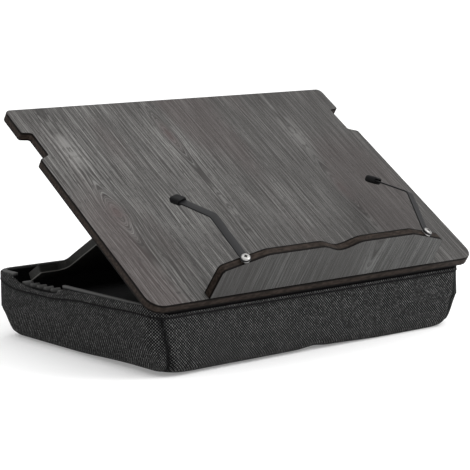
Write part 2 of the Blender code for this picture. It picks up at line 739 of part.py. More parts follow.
def ledge_outline():
    """Returns the ledge's (x, z) outline: slanting ends, ramps, humps and a middle dip."""
    base = FIT_GAP
    end = LEDGE_HALF_LENGTH
    hump_x = LEDGE_RAMP_START - (LEDGE_HEIGHT - LEDGE_SHOULDER_HEIGHT) / math.tan(LEDGE_RAMP_ANGLE)
    right = [
        (end, base, 0),
        (LEDGE_RAMP_START, LEDGE_SHOULDER_HEIGHT, LEDGE_CORNER_RADIUS),
        (hump_x, LEDGE_HEIGHT, LEDGE_HUMP_RADIUS),
    ]
    dip = []
    for step in range(LEDGE_DIP_STEPS + 1):
        share = 1 - 2 * step / LEDGE_DIP_STEPS
        depth = LEDGE_DIP_DEPTH * (1 - smooth_step(abs(share)))
        dip.append((share * LEDGE_DIP_HALF_WIDTH, LEDGE_HEIGHT - depth, 0))
    left = [(-x, z, radius) for x, z, radius in reversed(right)]
    return rounded(right + dip + left)


def build_ledge(face, laminate, arm_axes):
    """Adds the page ledge on the board's front edge, bored for the arms' screws."""
    outline = [(point.x, 0, point.y) for point in ledge_outline()]
    ledge = piece("page_ledge", prism(outline, Vector((0, LEDGE_THICKNESS, 0))), face, laminate)
    bevel(ledge, LEDGE_EDGE_BEVEL)
    for axis in arm_axes:
        hole = rod(SHANK_RADIUS + SHANK_CLEARANCE, -SHANK_LENGTH - SHANK_CLEARANCE, OVERRUN)
        cut(ledge, piece(f"{axis.name}_screw_hole", hole, axis))
    return ledge


def leg_outline():
    """Returns the support panel's (x, y) outline: a wide T with filleted inner corners."""
    near = KNUCKLE_RADIUS + FIT_GAP
    bar = LEG_LENGTH - LEG_BAR_DEPTH
    right = [
        (LEG_PLATE_HALF_WIDTH, near, LEG_CORNER_RADIUS),
        (LEG_PLATE_HALF_WIDTH, bar, LEG_FILLET_RADIUS),
        (LEG_BAR_HALF_LENGTH, bar, LEG_CORNER_RADIUS),
        (LEG_BAR_HALF_LENGTH, LEG_LENGTH, LEG_CORNER_RADIUS),
    ]
    left = [(-x, y, radius) for x, y, radius in reversed(right)]
    return rounded(right + left)


def build_leg(support_axis, fibreboard):
    """Adds the support panel with a seat let in for each hinge leaf."""
    leg = piece("support_leg", upright(leg_outline(), LEG_BOTTOM, LEG_TOP), support_axis, fibreboard)
    bevel(leg, LEG_EDGE_BEVEL)
    seat_low = KNUCKLE_RADIUS - KNUCKLE_SHEET - FIT_GAP
    seat_half = HINGE_LENGTH / 2 + FIT_GAP
    seat = [
        (-OVERRUN, seat_low), (HINGE_PLATE_WIDTH + FIT_GAP, seat_low),
        (HINGE_PLATE_WIDTH + FIT_GAP, LEG_TOP + OVERRUN), (-OVERRUN, LEG_TOP + OVERRUN),
    ]
    for side, label in ((-1, "left"), (1, "right")):
        cutter = piece(f"leaf_seat_{label}", across(seat, seat_half, side * SUPPORT_HINGE_X), support_axis)
        cut(leg, cutter)
    return leg


def strip_route():
    """Returns the strip's middle line as (y, z) points from the eye's end to the cap's tip."""
    middle = STRIP_BASE + STRIP_THICKNESS / 2
    corners = [
        (-EYE_RADIUS, middle, 0),
        (EYE_FLAT, middle, BEND_RADIUS),
        (ELBOW_REACH, ELBOW_HEIGHT + middle, BEND_RADIUS),
        (TIP_REACH, middle - TIP_DROP, 0),
    ]
    return rounded(corners, BEND_STEPS)


def strip_sections():
    """Returns (point, direction, half width) for each section of the strip."""
    line = strip_route()
    tip_direction = (line[-1] - line[-2]).normalized()
    middle = line[0].y
    sections = []
    neck = math.asin(STRIP_WIDTH / 2 / EYE_RADIUS)
    for step in range(1, 2 * EYE_STEPS + 1):
        angle = (math.pi - neck) * step / (2 * EYE_STEPS)
        width = EYE_RADIUS * math.sin(angle)
        sections.append((Vector((-EYE_RADIUS * math.cos(angle), middle)), Vector((1, 0)), width))
    inner = line[1:-1]
    for index, point in enumerate(inner):
        before = line[index]
        after = line[index + 2]
        sections.append((point, (after - before).normalized(), STRIP_WIDTH / 2))
    sections.append((line[-1] - tip_direction * CAP_END_WALL, tip_direction, STRIP_WIDTH / 2))
    return sections


def build_arm(axis, name, steel, rubber):
    """Adds one page arm: the bent strip with its eye, and the rubber cap on its end."""
    bm = bmesh.new()
    rings = []
    for point, direction, width in strip_sections():
        normal = Vector((-direction.y, direction.x)) * (STRIP_THICKNESS / 2)
        low = point - normal
        high = point + normal
        rings.append([bm.verts.new(corner) for corner in (
            (-width, low.x, low.y), (width, low.x, low.y),
            (width, high.x, high.y), (-width, high.x, high.y),
        )])
    for ring, following in zip(rings, rings[1:]):
        for i in range(4):
            k = (i + 1) % 4
            bm.faces.new((ring[i], ring[k], following[k], following[i]))
    bm.faces.new(rings[0])
    bm.faces.new(rings[-1])
    strip = piece(name, bm, axis, steel)
    eye_hole = rod(SHANK_RADIUS + SHANK_CLEARANCE, STRIP_BASE - OVERRUN, STRIP_BASE + OVERRUN)
    cut(strip, piece(f"{name}_eye_hole", eye_hole, axis))
    build_cap(axis, name.replace("page_arm", "page_arm_tip"), rubber)
    return strip


def build_cap(axis, name, rubber):
    """Adds the rounded rubber cap that is pushed over the strip's end."""
    line = strip_route()
    tip = line[-1]
    direction = (tip - line[-2]).normalized()
    slope = math.atan2(direction.y, direction.x)
    size = Vector((CAP_WIDTH, CAP_LENGTH, CAP_THICKNESS))
    bm = bmesh.new()
    bmesh.ops.create_cube(bm, size=1, matrix=Matrix.Diagonal((*size, 1)))
    bmesh.ops.bevel(bm, geom=list(bm.edges), offset=CAP_ROUNDING, segments=3, profile=0.5, affect="EDGES")
    bmesh.ops.translate(bm, verts=bm.verts, vec=(0, -CAP_LENGTH / 2, 0))
    cap = piece(name, bm, axis, rubber, (0, tip.x, tip.y), (slope, 0, 0))
    width = STRIP_WIDTH + 2 * FIT_GAP
    height = STRIP_THICKNESS + 2 * FIT_GAP
    mouth = CAP_LENGTH + OVERRUN
    floor = CAP_END_WALL - FIT_GAP
    slot = [(-mouth, -height / 2), (-floor, -height / 2), (-floor, height / 2), (-mouth, height / 2)]
    cut(cap, piece(f"{name}_slot", across(slot, width / 2), cap))
    return cap


def build_screw(axis, label, steel):
    """Adds the round-headed pivot screw with a cross recess, and its washer."""
    seat = STRIP_BASE + STRIP_THICKNESS + FIT_GAP
    profile = [(0, -SHANK_LENGTH), (SHANK_RADIUS, -SHANK_LENGTH), (SHANK_RADIUS, seat),
               (HEAD_RADIUS, seat), (HEAD_RADIUS, seat + HEAD_RIM)]
    dome = HEAD_HEIGHT - HEAD_RIM
    for step in range(1, HEAD_STEPS):
        angle = math.pi / 2 * step / HEAD_STEPS
        profile.append((HEAD_RADIUS * math.cos(angle), seat + HEAD_RIM + dome * math.sin(angle)))
    profile.append((0, seat + HEAD_HEIGHT))
    screw = piece(f"arm_screw_{label}", turned_solid(profile, ROUND_SIDES), axis, steel)
    top = seat + HEAD_HEIGHT
    cross = rounded([
        (CROSS_LENGTH / 2, CROSS_WIDTH / 2, 0), (CROSS_WIDTH / 2, CROSS_WIDTH / 2, 0),
        (CROSS_WIDTH / 2, CROSS_LENGTH / 2, 0), (-CROSS_WIDTH / 2, CROSS_LENGTH / 2, 0),
        (-CROSS_WIDTH / 2, CROSS_WIDTH / 2, 0), (-CROSS_LENGTH / 2, CROSS_WIDTH / 2, 0),
        (-CROSS_LENGTH / 2, -CROSS_WIDTH / 2, 0), (-CROSS_WIDTH / 2, -CROSS_WIDTH / 2, 0),
        (-CROSS_WIDTH / 2, -CROSS_LENGTH / 2, 0), (CROSS_WIDTH / 2, -CROSS_LENGTH / 2, 0),
        (CROSS_WIDTH / 2, -CROSS_WIDTH / 2, 0), (CROSS_LENGTH / 2, -CROSS_WIDTH / 2, 0),
    ])
    cut(screw, piece(f"arm_screw_{label}_cross", upright(cross, top - CROSS_DEPTH, top + OVERRUN), axis))
    bore = SHANK_RADIUS + SHANK_CLEARANCE
    ring = [(bore, FIT_GAP), (WASHER_RADIUS, FIT_GAP),
            (WASHER_RADIUS, FIT_GAP + WASHER_THICKNESS), (bore, FIT_GAP + WASHER_THICKNESS)]
    piece(f"arm_washer_{label}", turned_solid(ring, ROUND_SIDES), axis, steel)


def main():
    """Builds the whole lap desk in the pose of the photograph."""
    clear_scene()
    cloth = material("woven_cloth", (0.055, 0.055, 0.058), 0.95)
    cord = material("piping_cloth", (0.035, 0.035, 0.038), 0.9)
    plastic = material("black_plastic", (0.012, 0.012, 0.013), 0.5)
    fibreboard = material("dark_fibreboard", (0.022, 0.021, 0.019), 0.55)
    laminate = material("grey_laminate", (0.105, 0.100, 0.098), 0.45)
    hinge_steel = material("zinc_steel", (0.55, 0.55, 0.53), 0.35, 1.0)
    arm_steel = material("grey_painted_steel", (0.10, 0.10, 0.105), 0.45, 0.3)
    screw_steel = material("nickel_steel", (0.62, 0.61, 0.59), 0.25, 1.0)
    rubber = material("black_rubber", (0.02, 0.02, 0.021), 0.8)

    tray_frame = empty("tray_frame", location=(0, -desk_middle(), 0))
    board_axis = empty("board_axis", tray_frame, (0, FRONT_AXIS_Y, FRONT_AXIS_Z), (BOARD_TILT, 0, 0))
    board_face = empty("board_face", board_axis, (0, -HINGE_SETBACK, HINGE_DROP))
    support_axis = empty("support_axis", board_axis, (0, HINGE_SPACING, 0), (-LEG_SLOPE - BOARD_TILT, 0, 0))

    build_pad(tray_frame, cloth)
    build_tray(tray_frame, plastic)
    build_cover(tray_frame, cloth, cord)
    build_board(board_face, laminate)
    build_leg(support_axis, fibreboard)
    arms = []
    for side, label, swing in ((-1, "left", LEFT_ARM_SWING), (1, "right", RIGHT_ARM_SWING)):
        build_rack(tray_frame, plastic, f"rack_{label}", side)
        build_front_hinge(f"front_hinge_{label}", side, tray_frame, board_axis, hinge_steel)
        build_support_hinge(f"support_hinge_{label}", side, board_axis, support_axis, hinge_steel)
        mount = empty(f"arm_mount_{label}", board_face, (side * PIVOT_X, LEDGE_THICKNESS / 2, PIVOT_HEIGHT),
                      (0, side * LEDGE_RAMP_ANGLE, 0))
        arm_axis = empty(f"arm_axis_{label}", mount, rotation=(0, 0, -side * swing))
        build_arm(arm_axis, f"page_arm_{label}", arm_steel, rubber)
        build_screw(mount, label, screw_steel)
        arms.append(mount)
    build_ledge(board_face, laminate, arms)


main()
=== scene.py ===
"""Looks of the lap desk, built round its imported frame.

The cover and cushion, the hem, the piping, the page arms, the pivot screws and
the hinge screws are new pieces. The board, the ledge, the tray, the racks, the
support, the washers and the hinges keep their solids and get finishes of their
own. All sizes are in metres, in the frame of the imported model.

In the finishes a spread holds a ramp's low and high input, and its start and
end where they aren't 0 and 1. A pair with by in its name holds a slope and a
base, and a relief holds its depth and its strength.
"""

import json
import logging
import math
from dataclasses import dataclass, field
from enum import Enum
from typing import Callable, Sequence

import bmesh
import bpy
from mathutils import Matrix, Vector, noise

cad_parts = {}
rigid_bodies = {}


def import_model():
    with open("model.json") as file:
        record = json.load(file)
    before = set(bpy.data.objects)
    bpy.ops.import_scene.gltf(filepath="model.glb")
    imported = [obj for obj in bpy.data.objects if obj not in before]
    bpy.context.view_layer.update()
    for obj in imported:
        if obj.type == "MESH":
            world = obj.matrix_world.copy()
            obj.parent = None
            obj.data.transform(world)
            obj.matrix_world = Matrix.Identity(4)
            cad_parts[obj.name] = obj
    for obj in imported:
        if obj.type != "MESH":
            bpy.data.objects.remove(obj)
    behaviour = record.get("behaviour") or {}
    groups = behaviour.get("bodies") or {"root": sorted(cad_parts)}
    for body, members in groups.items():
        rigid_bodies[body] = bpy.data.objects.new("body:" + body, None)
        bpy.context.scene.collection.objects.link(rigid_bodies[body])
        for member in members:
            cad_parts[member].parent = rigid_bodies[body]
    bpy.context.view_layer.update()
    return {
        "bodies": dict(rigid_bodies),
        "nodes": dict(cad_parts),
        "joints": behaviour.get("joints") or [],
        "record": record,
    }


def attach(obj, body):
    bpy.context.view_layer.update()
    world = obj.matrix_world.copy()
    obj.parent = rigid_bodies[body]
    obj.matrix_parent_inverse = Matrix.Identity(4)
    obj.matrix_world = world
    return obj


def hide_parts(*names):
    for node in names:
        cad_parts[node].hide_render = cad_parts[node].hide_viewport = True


BMesh = bmesh.types.BMesh
Edges = list[bmesh.types.BMEdge]
Verts = list[bmesh.types.BMVert]
Material = bpy.types.Material
Mesh = bpy.types.Mesh
Nodes = dict[str, bpy.types.Object]
Socket = bpy.types.NodeSocket
Pair = tuple[float, float]
Triple = tuple[float, float, float]
Spread = tuple[float, float, float, float]

LOG = logging.getLogger("lap_desk")
SIDES = ((-1, "left"), (1, "right"))
MERGE_DISTANCE = 0.00001
# Edges below the first angle are dropped, and those above the others are rounded.
FLAT_ANGLE = math.radians(1)
EASED_ANGLE = math.radians(40)
SHARP_ANGLE = math.radians(50)
# The height of a cross recess's bars, in their widths.
CROSS_HEIGHT = 1.5
# How strong the finer octaves of a fine noise are.
FINE_ROUGHNESS = 0.6


class Body(Enum):
    """The bodies that pieces ride on."""

    BASE = "base"
    BOARD = "board"
    SUPPORT = "support"
    ARM_LEFT = "arm_left"
    ARM_RIGHT = "arm_right"


class Slot(Enum):
    """The record's material slots, which no piece here is given."""

    CLOTH = "woven_cloth"
    PIPING = "piping_cloth"
    ZINC = "zinc_steel"
    NICKEL = "nickel_steel"
    ARM_PAINT = "grey_painted_steel"
    RUBBER = "black_rubber"


class Grain(Enum):
    """The laminated face that a finish is for."""

    BOARD_TOP = "board_top"
    LEDGE_FRONT = "ledge_front"


@dataclass(frozen=True)
class DeskPose:
    """Where the moving parts stand at rest."""

    tray_middle: float = 0.015776
    board_tilt: float = math.radians(34)
    board_axis: Triple = (0.0, -0.109724, 0.0639)
    support_axis: Triple = (0.0, -0.012726, 0.129326)
    support_turn: float = math.radians(-29.9)
    hinge_spacing: float = 0.117

    def board_frame(self) -> Matrix:
        """Returns the frame of the board's hinge axis."""
        return Matrix.Translation(self.board_axis) @ Matrix.Rotation(self.board_tilt, 4, "X")

    def support_frame(self) -> Matrix:
        """Returns the frame of the support's hinge axis."""
        return Matrix.Translation(self.support_axis) @ Matrix.Rotation(self.support_turn, 4, "X")


class Shader:
    """A material's node tree with short calls for its nodes."""

    def __init__(self, name: str) -> None:
        """Starts a Principled material.

        Args:
            name: The material's name.
        """
        self.material = bpy.data.materials.new(name)
        self.material.use_nodes = True
        self.tree = self.material.node_tree
        self.surface = self.tree.nodes["Principled BSDF"]

    def node(self, kind: str, **settings: object) -> bpy.types.Node:
        """Adds a node.

        Args:
            kind: The node's type name, without its ShaderNode start.
            **settings: Properties of the node.

        Returns:
            The new node.
        """
        made = self.tree.nodes.new(f"ShaderNode{kind}")
        for name, value in settings.items():
            setattr(made, name, value)
        return made

    def feed(self, socket: Socket, value: object) -> None:
        """Links a socket to another or sets its constant.

        Args:
            socket: The input to fill.
            value: An output socket, a number, a vector, or a colour without its alpha.
        """
        if isinstance(value, Socket):
            self.tree.links.new(value, socket)
        else:
            socket.default_value = (*value, 1.0) if socket.type == "RGBA" else value

    def math(self, operation: str, *values: object) -> Socket:
        """Adds a Math node.

        Args:
            operation: The node's operation.
            *values: Its inputs.

        Returns:
            The node's output.
        """
        made = self.node("Math", operation=operation)
        for socket, value in zip(made.inputs, values):
            self.feed(socket, value)
        return made.outputs[0]

    def mix(self, share: object, low: object, high: object) -> Socket:
        """Mixes two colours.

        Args:
            share: How much of the second colour shows.
            low: The first colour.
            high: The second colour.

        Returns:
            The mixed colour.
        """
        made = self.node("Mix", data_type="RGBA")
        for index, value in ((0, share), (6, low), (7, high)):
            self.feed(made.inputs[index], value)
        return made.outputs[2]

    def ramp(self, value: object, low: float, high: float,
             start: float = 0.0, end: float = 1.0) -> Socket:
        """Maps a range of a value onto another, clamped and eased.

        Args:
            value: The input.
            low: The input's value at the start.
            high: The input's value at the end.
            start: The output at low.
            end: The output at high.

        Returns:
            The mapped value.
        """
        made = self.node("MapRange", interpolation_type="SMOOTHSTEP")
        for socket, number in zip(made.inputs, (value, low, high, start, end)):
            self.feed(socket, number)
        return made.outputs[0]

    def parts(self, vector: Socket) -> Sequence[Socket]:
        """Splits a vector.

        Args:
            vector: The vector.

        Returns:
            Its three numbers.
        """
        made = self.node("SeparateXYZ")
        self.feed(made.inputs[0], vector)
        return tuple(made.outputs)

    def joined(self, x: object, y: object, z: float = 0.0) -> Socket:
        """Joins three numbers to a vector.

        Args:
            x: The first number.
            y: The second number.
            z: The third number.

        Returns:
            The vector.
        """
        made = self.node("CombineXYZ")
        for socket, value in zip(made.inputs, (x, y, z)):
            self.feed(socket, value)
        return made.outputs[0]

    def objects(self, turn: Triple = (0, 0, 0), scale: Triple = (1, 1, 1)) -> Socket:
        """Turns and then stretches the Object coordinates.

        Args:
            turn: The turn about each axis.
            scale: The stretch along each turned axis.

        Returns:
            The coordinates.
        """
        place = self.node("TexCoord").outputs["Object"]
        for change, amount in (("Rotation", turn), ("Scale", scale)):
            mapping = self.node("Mapping")
            self.feed(mapping.inputs["Vector"], place)
            mapping.inputs[change].default_value = amount
            place = mapping.outputs[0]
        return place

    def noise(self, vector: object, scale: float, detail: float = 2.0,
              roughness: float = 0.5) -> Socket:
        """Adds a noise.

        Args:
            vector: The coordinates.
            scale: The noise's scale.
            detail: Its octaves.
            roughness: How strong the finer octaves are.

        Returns:
            The noise's value.
        """
        made = self.node("TexNoise")
        for name, value in (("Vector", vector), ("Scale", scale), ("Detail", detail),
                            ("Roughness", roughness)):
            self.feed(made.inputs[name], value)
        return made.outputs[0]

    def facing(self, direction: Triple, low: float, high: float) -> Socket:
        """Masks the faces that look along a direction or against it.

        Args:
            direction: The direction in the object's own space.
            low: The share of the direction at which the mask starts.
            high: The share at which it is full.

        Returns:
            The mask: 1 on these faces and 0 on the others.
        """
        dot = self.node("VectorMath", operation="DOT_PRODUCT")
        self.feed(dot.inputs[0], self.node("TexCoord").outputs["Normal"])
        self.feed(dot.inputs[1], direction)
        return self.ramp(self.math("ABSOLUTE", dot.outputs["Value"]), low, high)

    def bump(self, height: object, distance: float, strength: float = 1.0) -> None:
        """Gives the surface a relief.

        Args:
            height: The height's socket.
            distance: The relief's depth.
            strength: The relief's strength.
        """
        made = self.node("Bump")
        for name, value in (("Strength", strength), ("Distance", distance), ("Height", height)):
            self.feed(made.inputs[name], value)
        self.feed(self.surface.inputs["Normal"], made.outputs[0])

    def set(self, **values: object) -> None:
        """Fills the surface's inputs.

        Args:
            **values: Each input's name, with underscores for its spaces, and its value.
        """
        for name, value in values.items():
            self.feed(self.surface.inputs[name.replace("_", " ")], value)


@dataclass(frozen=True)
class Knot:
    """An oval figure in the grain, which the lines run round."""

    x: float
    along: float
    half_width: float
    half_length: float


@dataclass(frozen=True)
class Streaks:
    """Streaks along the grain: how many for each metre across and along it, and their octaves."""

    rate: float
    run: float
    detail: float

    def shown(self, shade: Shader, across: Socket, along: Socket) -> Socket:
        """Draws the streaks.

        Args:
            shade: The material.
            across: The place across the grain.
            along: The place along it.

        Returns:
            The streaks' value.
        """
        place = shade.joined(shade.math("MULTIPLY", across, self.rate),
                             shade.math("MULTIPLY", along, self.run))
        return shade.noise(place, 1.0, self.detail, FINE_ROUGHNESS)


@dataclass(frozen=True)
class LaminateFinish:
    """Dark grey wood-grain laminate with black-brown edges.

    Fine lines run along the board's depth and up the ledge. They bend round
    a few oval figures, and carry faint brown patches and open pores.
    """

    grain: Grain
    tilt: float
    knots: tuple[Knot, ...]
    middle_depth: float
    dark: Triple = (0.024, 0.022, 0.021)
    middle: Triple = (0.072, 0.070, 0.067)
    light: Triple = (0.195, 0.191, 0.184)
    warm: Triple = (0.062, 0.044, 0.043)
    edge: Triple = (0.0135, 0.0100, 0.0082)
    edge_light: Triple = (0.034, 0.0255, 0.0208)
    edge_line: Triple = (0.0040, 0.0032, 0.0028)
    thickness: float = 0.009
    waver_scale: Triple = (16, 5, 5)
    waver_reach: float = 0.008
    lines: Streaks = Streaks(1000.0, 11.0, 3.0)
    strands: Streaks = Streaks(400.0, 5.0, 2.0)
    bands: Streaks = Streaks(44.0, 2.2, 2.0)
    pores: Streaks = Streaks(1300.0, 110.0, 1.0)
    scratches: Streaks = Streaks(1100.0, 9.0, 1.0)
    tone_shares: Triple = (0.66, 0.24, 0.10)
    middle_spread: Pair = (0.40, 0.54)
    light_spread: Pair = (0.50, 0.66)
    scratch_spread: Spread = (0.60, 0.70, 0.0, 0.6)
    heart_share: float = 0.82
    heart_width: float = 0.8
    heart_power: float = 4.0
    patch_scale: Triple = (14, 5, 5)
    patch_spread: Spread = (0.50, 0.68, 0.0, 0.4)
    pore_spread: Pair = (0.57, 0.68)
    pore_share: float = 0.7
    fibre_scale: Triple = (160, 420, 420)
    fibre_spread: Pair = (0.35, 0.7)
    edge_line_spread: Pair = (0.22, 0.36)
    side_range: Pair = (-0.16, 0.17)
    # The painted shade's share of the dark colour at each end of the side range.
    painted_end_shade: Pair = (0.04, 0.48)
    face_spread: Pair = (0.955, 0.99)
    roughness_by_tone: Pair = (-0.2, 0.60)
    specular_by_face: Pair = (0.14, 0.04)
    relief: Pair = (0.00012, 0.6)

    def material(self) -> Material:
        """Makes the laminate, with its grain on the face and its fibres on the edges.

        Returns:
            The material.
        """
        shade = Shader(f"laminate_{self.grain.value}")
        turn, normal = -self.tilt, (0.0, -math.sin(self.tilt), math.cos(self.tilt))
        if self.grain is Grain.LEDGE_FRONT:
            turn -= math.pi / 2
            normal = (0.0, math.cos(self.tilt), math.sin(self.tilt))
        x, along, depth = shade.parts(shade.objects((turn, 0, 0)))
        face, tone, open_pores = self._face(shade, turn, x, along)
        mask = shade.facing(normal, *self.face_spread)
        shade.set(Base_Color=shade.mix(mask, self._rim(shade, turn, depth), face),
                  Roughness=shade.math("MULTIPLY_ADD", tone, *self.roughness_by_tone),
                  Specular_IOR_Level=shade.math("MULTIPLY_ADD", mask, *self.specular_by_face))
        height = shade.math("MULTIPLY", mask, shade.math("SUBTRACT", tone, open_pores))
        shade.bump(height, *self.relief)
        return shade.material

    def _face(self, shade: Shader, turn: float, x: Socket, along: Socket) -> Sequence[Socket]:
        """Draws the grain.

        Args:
            shade: The material.
            turn: The turn about X that lays the face flat.
            x: The place across the face.
            along: The place along the grain.

        Returns:
            The face's colour, the grain's tone and the open pores.
        """
        waver = shade.noise(shade.objects((turn, 0, 0), self.waver_scale), 1.0)
        across = shade.math("MULTIPLY_ADD", waver, self.waver_reach, x)
        place, heart = self._round_knots(shade, across, along)
        lines = self.lines.shown(shade, place, along)
        strands = self.strands.shown(shade, place, along)
        bands = self.bands.shown(shade, across, along)
        pores = self.pores.shown(shade, place, along)
        scratches = self.scratches.shown(shade, across, along)
        line_share, strand_share, band_share = self.tone_shares
        tone = shade.math("MULTIPLY", strands, strand_share)
        tone = shade.math("MULTIPLY_ADD", lines, line_share, tone)
        tone = shade.math("MULTIPLY_ADD", bands, band_share, tone)
        face = shade.mix(shade.ramp(tone, *self.middle_spread), self.dark, self.middle)
        face = shade.mix(shade.ramp(tone, *self.light_spread), face, self.light)
        face = shade.mix(shade.ramp(scratches, *self.scratch_spread), face, self.light)
        # A thin dark line and two pale ones follow each strand, where its value crosses a level.
        for level, width, share, colour in (
                (0.5, 0.030, 0.85, self.dark), (0.43, 0.022, 0.60, self.light),
                (0.60, 0.022, 0.50, self.light)):
            crossing = shade.math("ABSOLUTE", shade.math("SUBTRACT", strands, level))
            face = shade.mix(shade.ramp(crossing, 0.0, width, share, 0.0), face, colour)
        face = shade.mix(shade.math("MULTIPLY", heart, self.heart_share), face, self.warm)
        patches = shade.noise(shade.objects((turn, 0, 0), self.patch_scale), 1.0, 1.0)
        face = shade.mix(shade.ramp(patches, *self.patch_spread), face, self.warm)
        # Painted shade: the face darkens towards one end, the board's right and the ledge's left.
        face = shade.mix(shade.ramp(x, *self.side_range, *self.painted_end_shade), face, self.dark)
        open_pores = shade.ramp(pores, *self.pore_spread)
        face = shade.mix(shade.math("MULTIPLY", open_pores, self.pore_share), face, self.dark)
        return face, tone, open_pores

    def _rim(self, shade: Shader, turn: float, depth: Socket) -> Socket:
        """Draws the fibrous edge, with the thin dark line of the laminate on both sides.

        Args:
            shade: The material.
            turn: The turn about X that lays the face flat.
            depth: The place through the board.

        Returns:
            The edge's colour.
        """
        place = shade.objects((turn, 0, 0), self.fibre_scale)
        fibres = shade.noise(place, 1.0, 3.0, FINE_ROUGHNESS)
        rim = shade.mix(shade.ramp(fibres, *self.fibre_spread), self.edge, self.edge_light)
        off_middle = shade.math("ABSOLUTE", shade.math("SUBTRACT", depth, self.middle_depth))
        low, high = (share * self.thickness for share in self.edge_line_spread)
        line = shade.ramp(off_middle, low, high)
        return shade.mix(line, rim, self.edge_line)

    def _round_knots(self, shade: Shader, across: Socket, along: Socket) -> Sequence[Socket]:
        """Bends the place across the grain round the knots.

        Args:
            shade: The material.
            across: The place across the grain.
            along: The place along it.

        Returns:
            The bent place, the same all along a grain line, and the nearness of a heart.
        """
        nearest, heart = across, 0.0
        for index, knot in enumerate(self.knots):
            aside = shade.math("SUBTRACT", across, knot.x)
            ahead = shade.math("SUBTRACT", along, knot.along)
            fade = self._bell(shade, ahead, knot.half_length)
            widened = shade.math("MULTIPLY_ADD", fade, -knot.half_width ** 2, knot.half_width ** 2)
            reach = shade.math("SQRT", shade.math("MULTIPLY_ADD", aside, aside, widened))
            nearest = shade.math("MINIMUM", nearest, reach) if index else reach
            core = self._bell(shade, aside, knot.half_width * self.heart_width)
            near = shade.math("MULTIPLY", core, shade.math("POWER", fade, self.heart_power))
            heart = shade.math("MAXIMUM", heart, near)
        return nearest, heart

    def _bell(self, shade: Shader, value: Socket, width: float) -> Socket:
        """Draws a bell curve.

        Args:
            shade: The material.
            value: The input.
            width: The input at which the curve has dropped to a third.

        Returns:
            The curve's value, 1 where the input is 0.
        """
        share = shade.math("DIVIDE", value, width)
        square = shade.math("MULTIPLY", share, share)
        return shade.math("EXPONENT", shade.math("MULTIPLY", square, -1.0))


@dataclass(frozen=True)
class WovenFinish:
    """Plain-woven cloth that follows the weave map: pale threads over dark ones."""

    name: str = "woven_cloth_grey"
    pitch: float = 0.00142
    dark: Triple = (0.0022, 0.0022, 0.0024)
    pale: Triple = (0.084, 0.084, 0.083)
    fleck: Triple = (0.235, 0.234, 0.230)
    # The painted shade's colour, for the corner creases and beneath the piping.
    seam: Triple = (0.0018, 0.0018, 0.0020)
    thread_arc: float = 2.7
    pale_spread: Pair = (0.38, 0.80)
    fleck_spread: Spread = (0.55, 1.0, 0.0, 0.45)
    shadow_spread: Spread = (0.0, 0.4, 0.4, 0.0)
    stray_spread: Spread = (0.8, 1.0, 0.0, 0.22)
    roughness: float = 0.95
    specular: float = 0.06
    relief: Pair = (0.00025, 0.5)

    def material(self) -> Material:
        """Makes the cloth.

        Returns:
            The material.
        """
        shade = Shader(self.name)
        place = shade.parts(shade.node("UVMap", uv_map="weave").outputs[0])
        u, v = (shade.math("DIVIDE", part, self.pitch) for part in place[:2])
        column, row = (shade.math("FLOOR", part) for part in (u, v))
        parity = shade.math("FLOORED_MODULO", shade.math("ADD", row, column), 2.0)
        across = self._crown(shade, u, column)
        along = self._crown(shade, v, row)
        warp = shade.math("MULTIPLY", across, shade.math("MULTIPLY_ADD", along, 0.5, 0.5))
        weft = shade.math("MULTIPLY", along, shade.math("MULTIPLY_ADD", across, 0.5, 0.5))
        height = shade.math("MULTIPLY_ADD", shade.math("SUBTRACT", weft, warp), parity, warp)
        thread = self._melange(shade, row, column, 0.0)
        pale = shade.mix(shade.ramp(thread, *self.fleck_spread), self.pale, self.fleck)
        pale = shade.mix(shade.ramp(thread, *self.shadow_spread), pale, self.dark)
        cover = shade.math("MULTIPLY", shade.math("SUBTRACT", 1.0, parity),
                           shade.ramp(height, *self.pale_spread))
        stray = shade.ramp(self._melange(shade, row, column, 5.0), *self.stray_spread)
        shown = shade.math("ADD", cover, shade.math("MULTIPLY", parity, stray))
        # Painted shade: the mask darkens the cloth in the corner creases and beneath the piping.
        painted_shade = shade.node("Attribute", attribute_name="painted_shade").outputs["Fac"]
        colour = shade.mix(painted_shade, shade.mix(shown, self.dark, pale), self.seam)
        shade.set(Base_Color=colour, Roughness=self.roughness, Specular_IOR_Level=self.specular)
        shade.bump(height, *self.relief)
        return shade.material

    def _crown(self, shade: Shader, place: Socket, cell: Socket) -> Socket:
        """Returns the rounded height across a thread, 1 at its middle."""
        offset = shade.math("SUBTRACT", shade.math("SUBTRACT", place, cell), 0.5)
        return shade.math("COSINE", shade.math("MULTIPLY", offset, self.thread_arc))

    def _melange(self, shade: Shader, row: Socket, column: Socket, offset: float) -> Socket:
        """Gives each crossing its own tone, as in yarn spun from pale and dark fibre.

        Args:
            shade: The material.
            row: The crossing's row.
            column: The crossing's column.
            offset: A shift that gives another set of tones.

        Returns:
            The tone, from 0 to 1.
        """
        spots = shade.node("TexWhiteNoise", noise_dimensions="3D")
        shade.feed(spots.inputs["Vector"], shade.joined(row, column, offset))
        return spots.outputs["Value"]


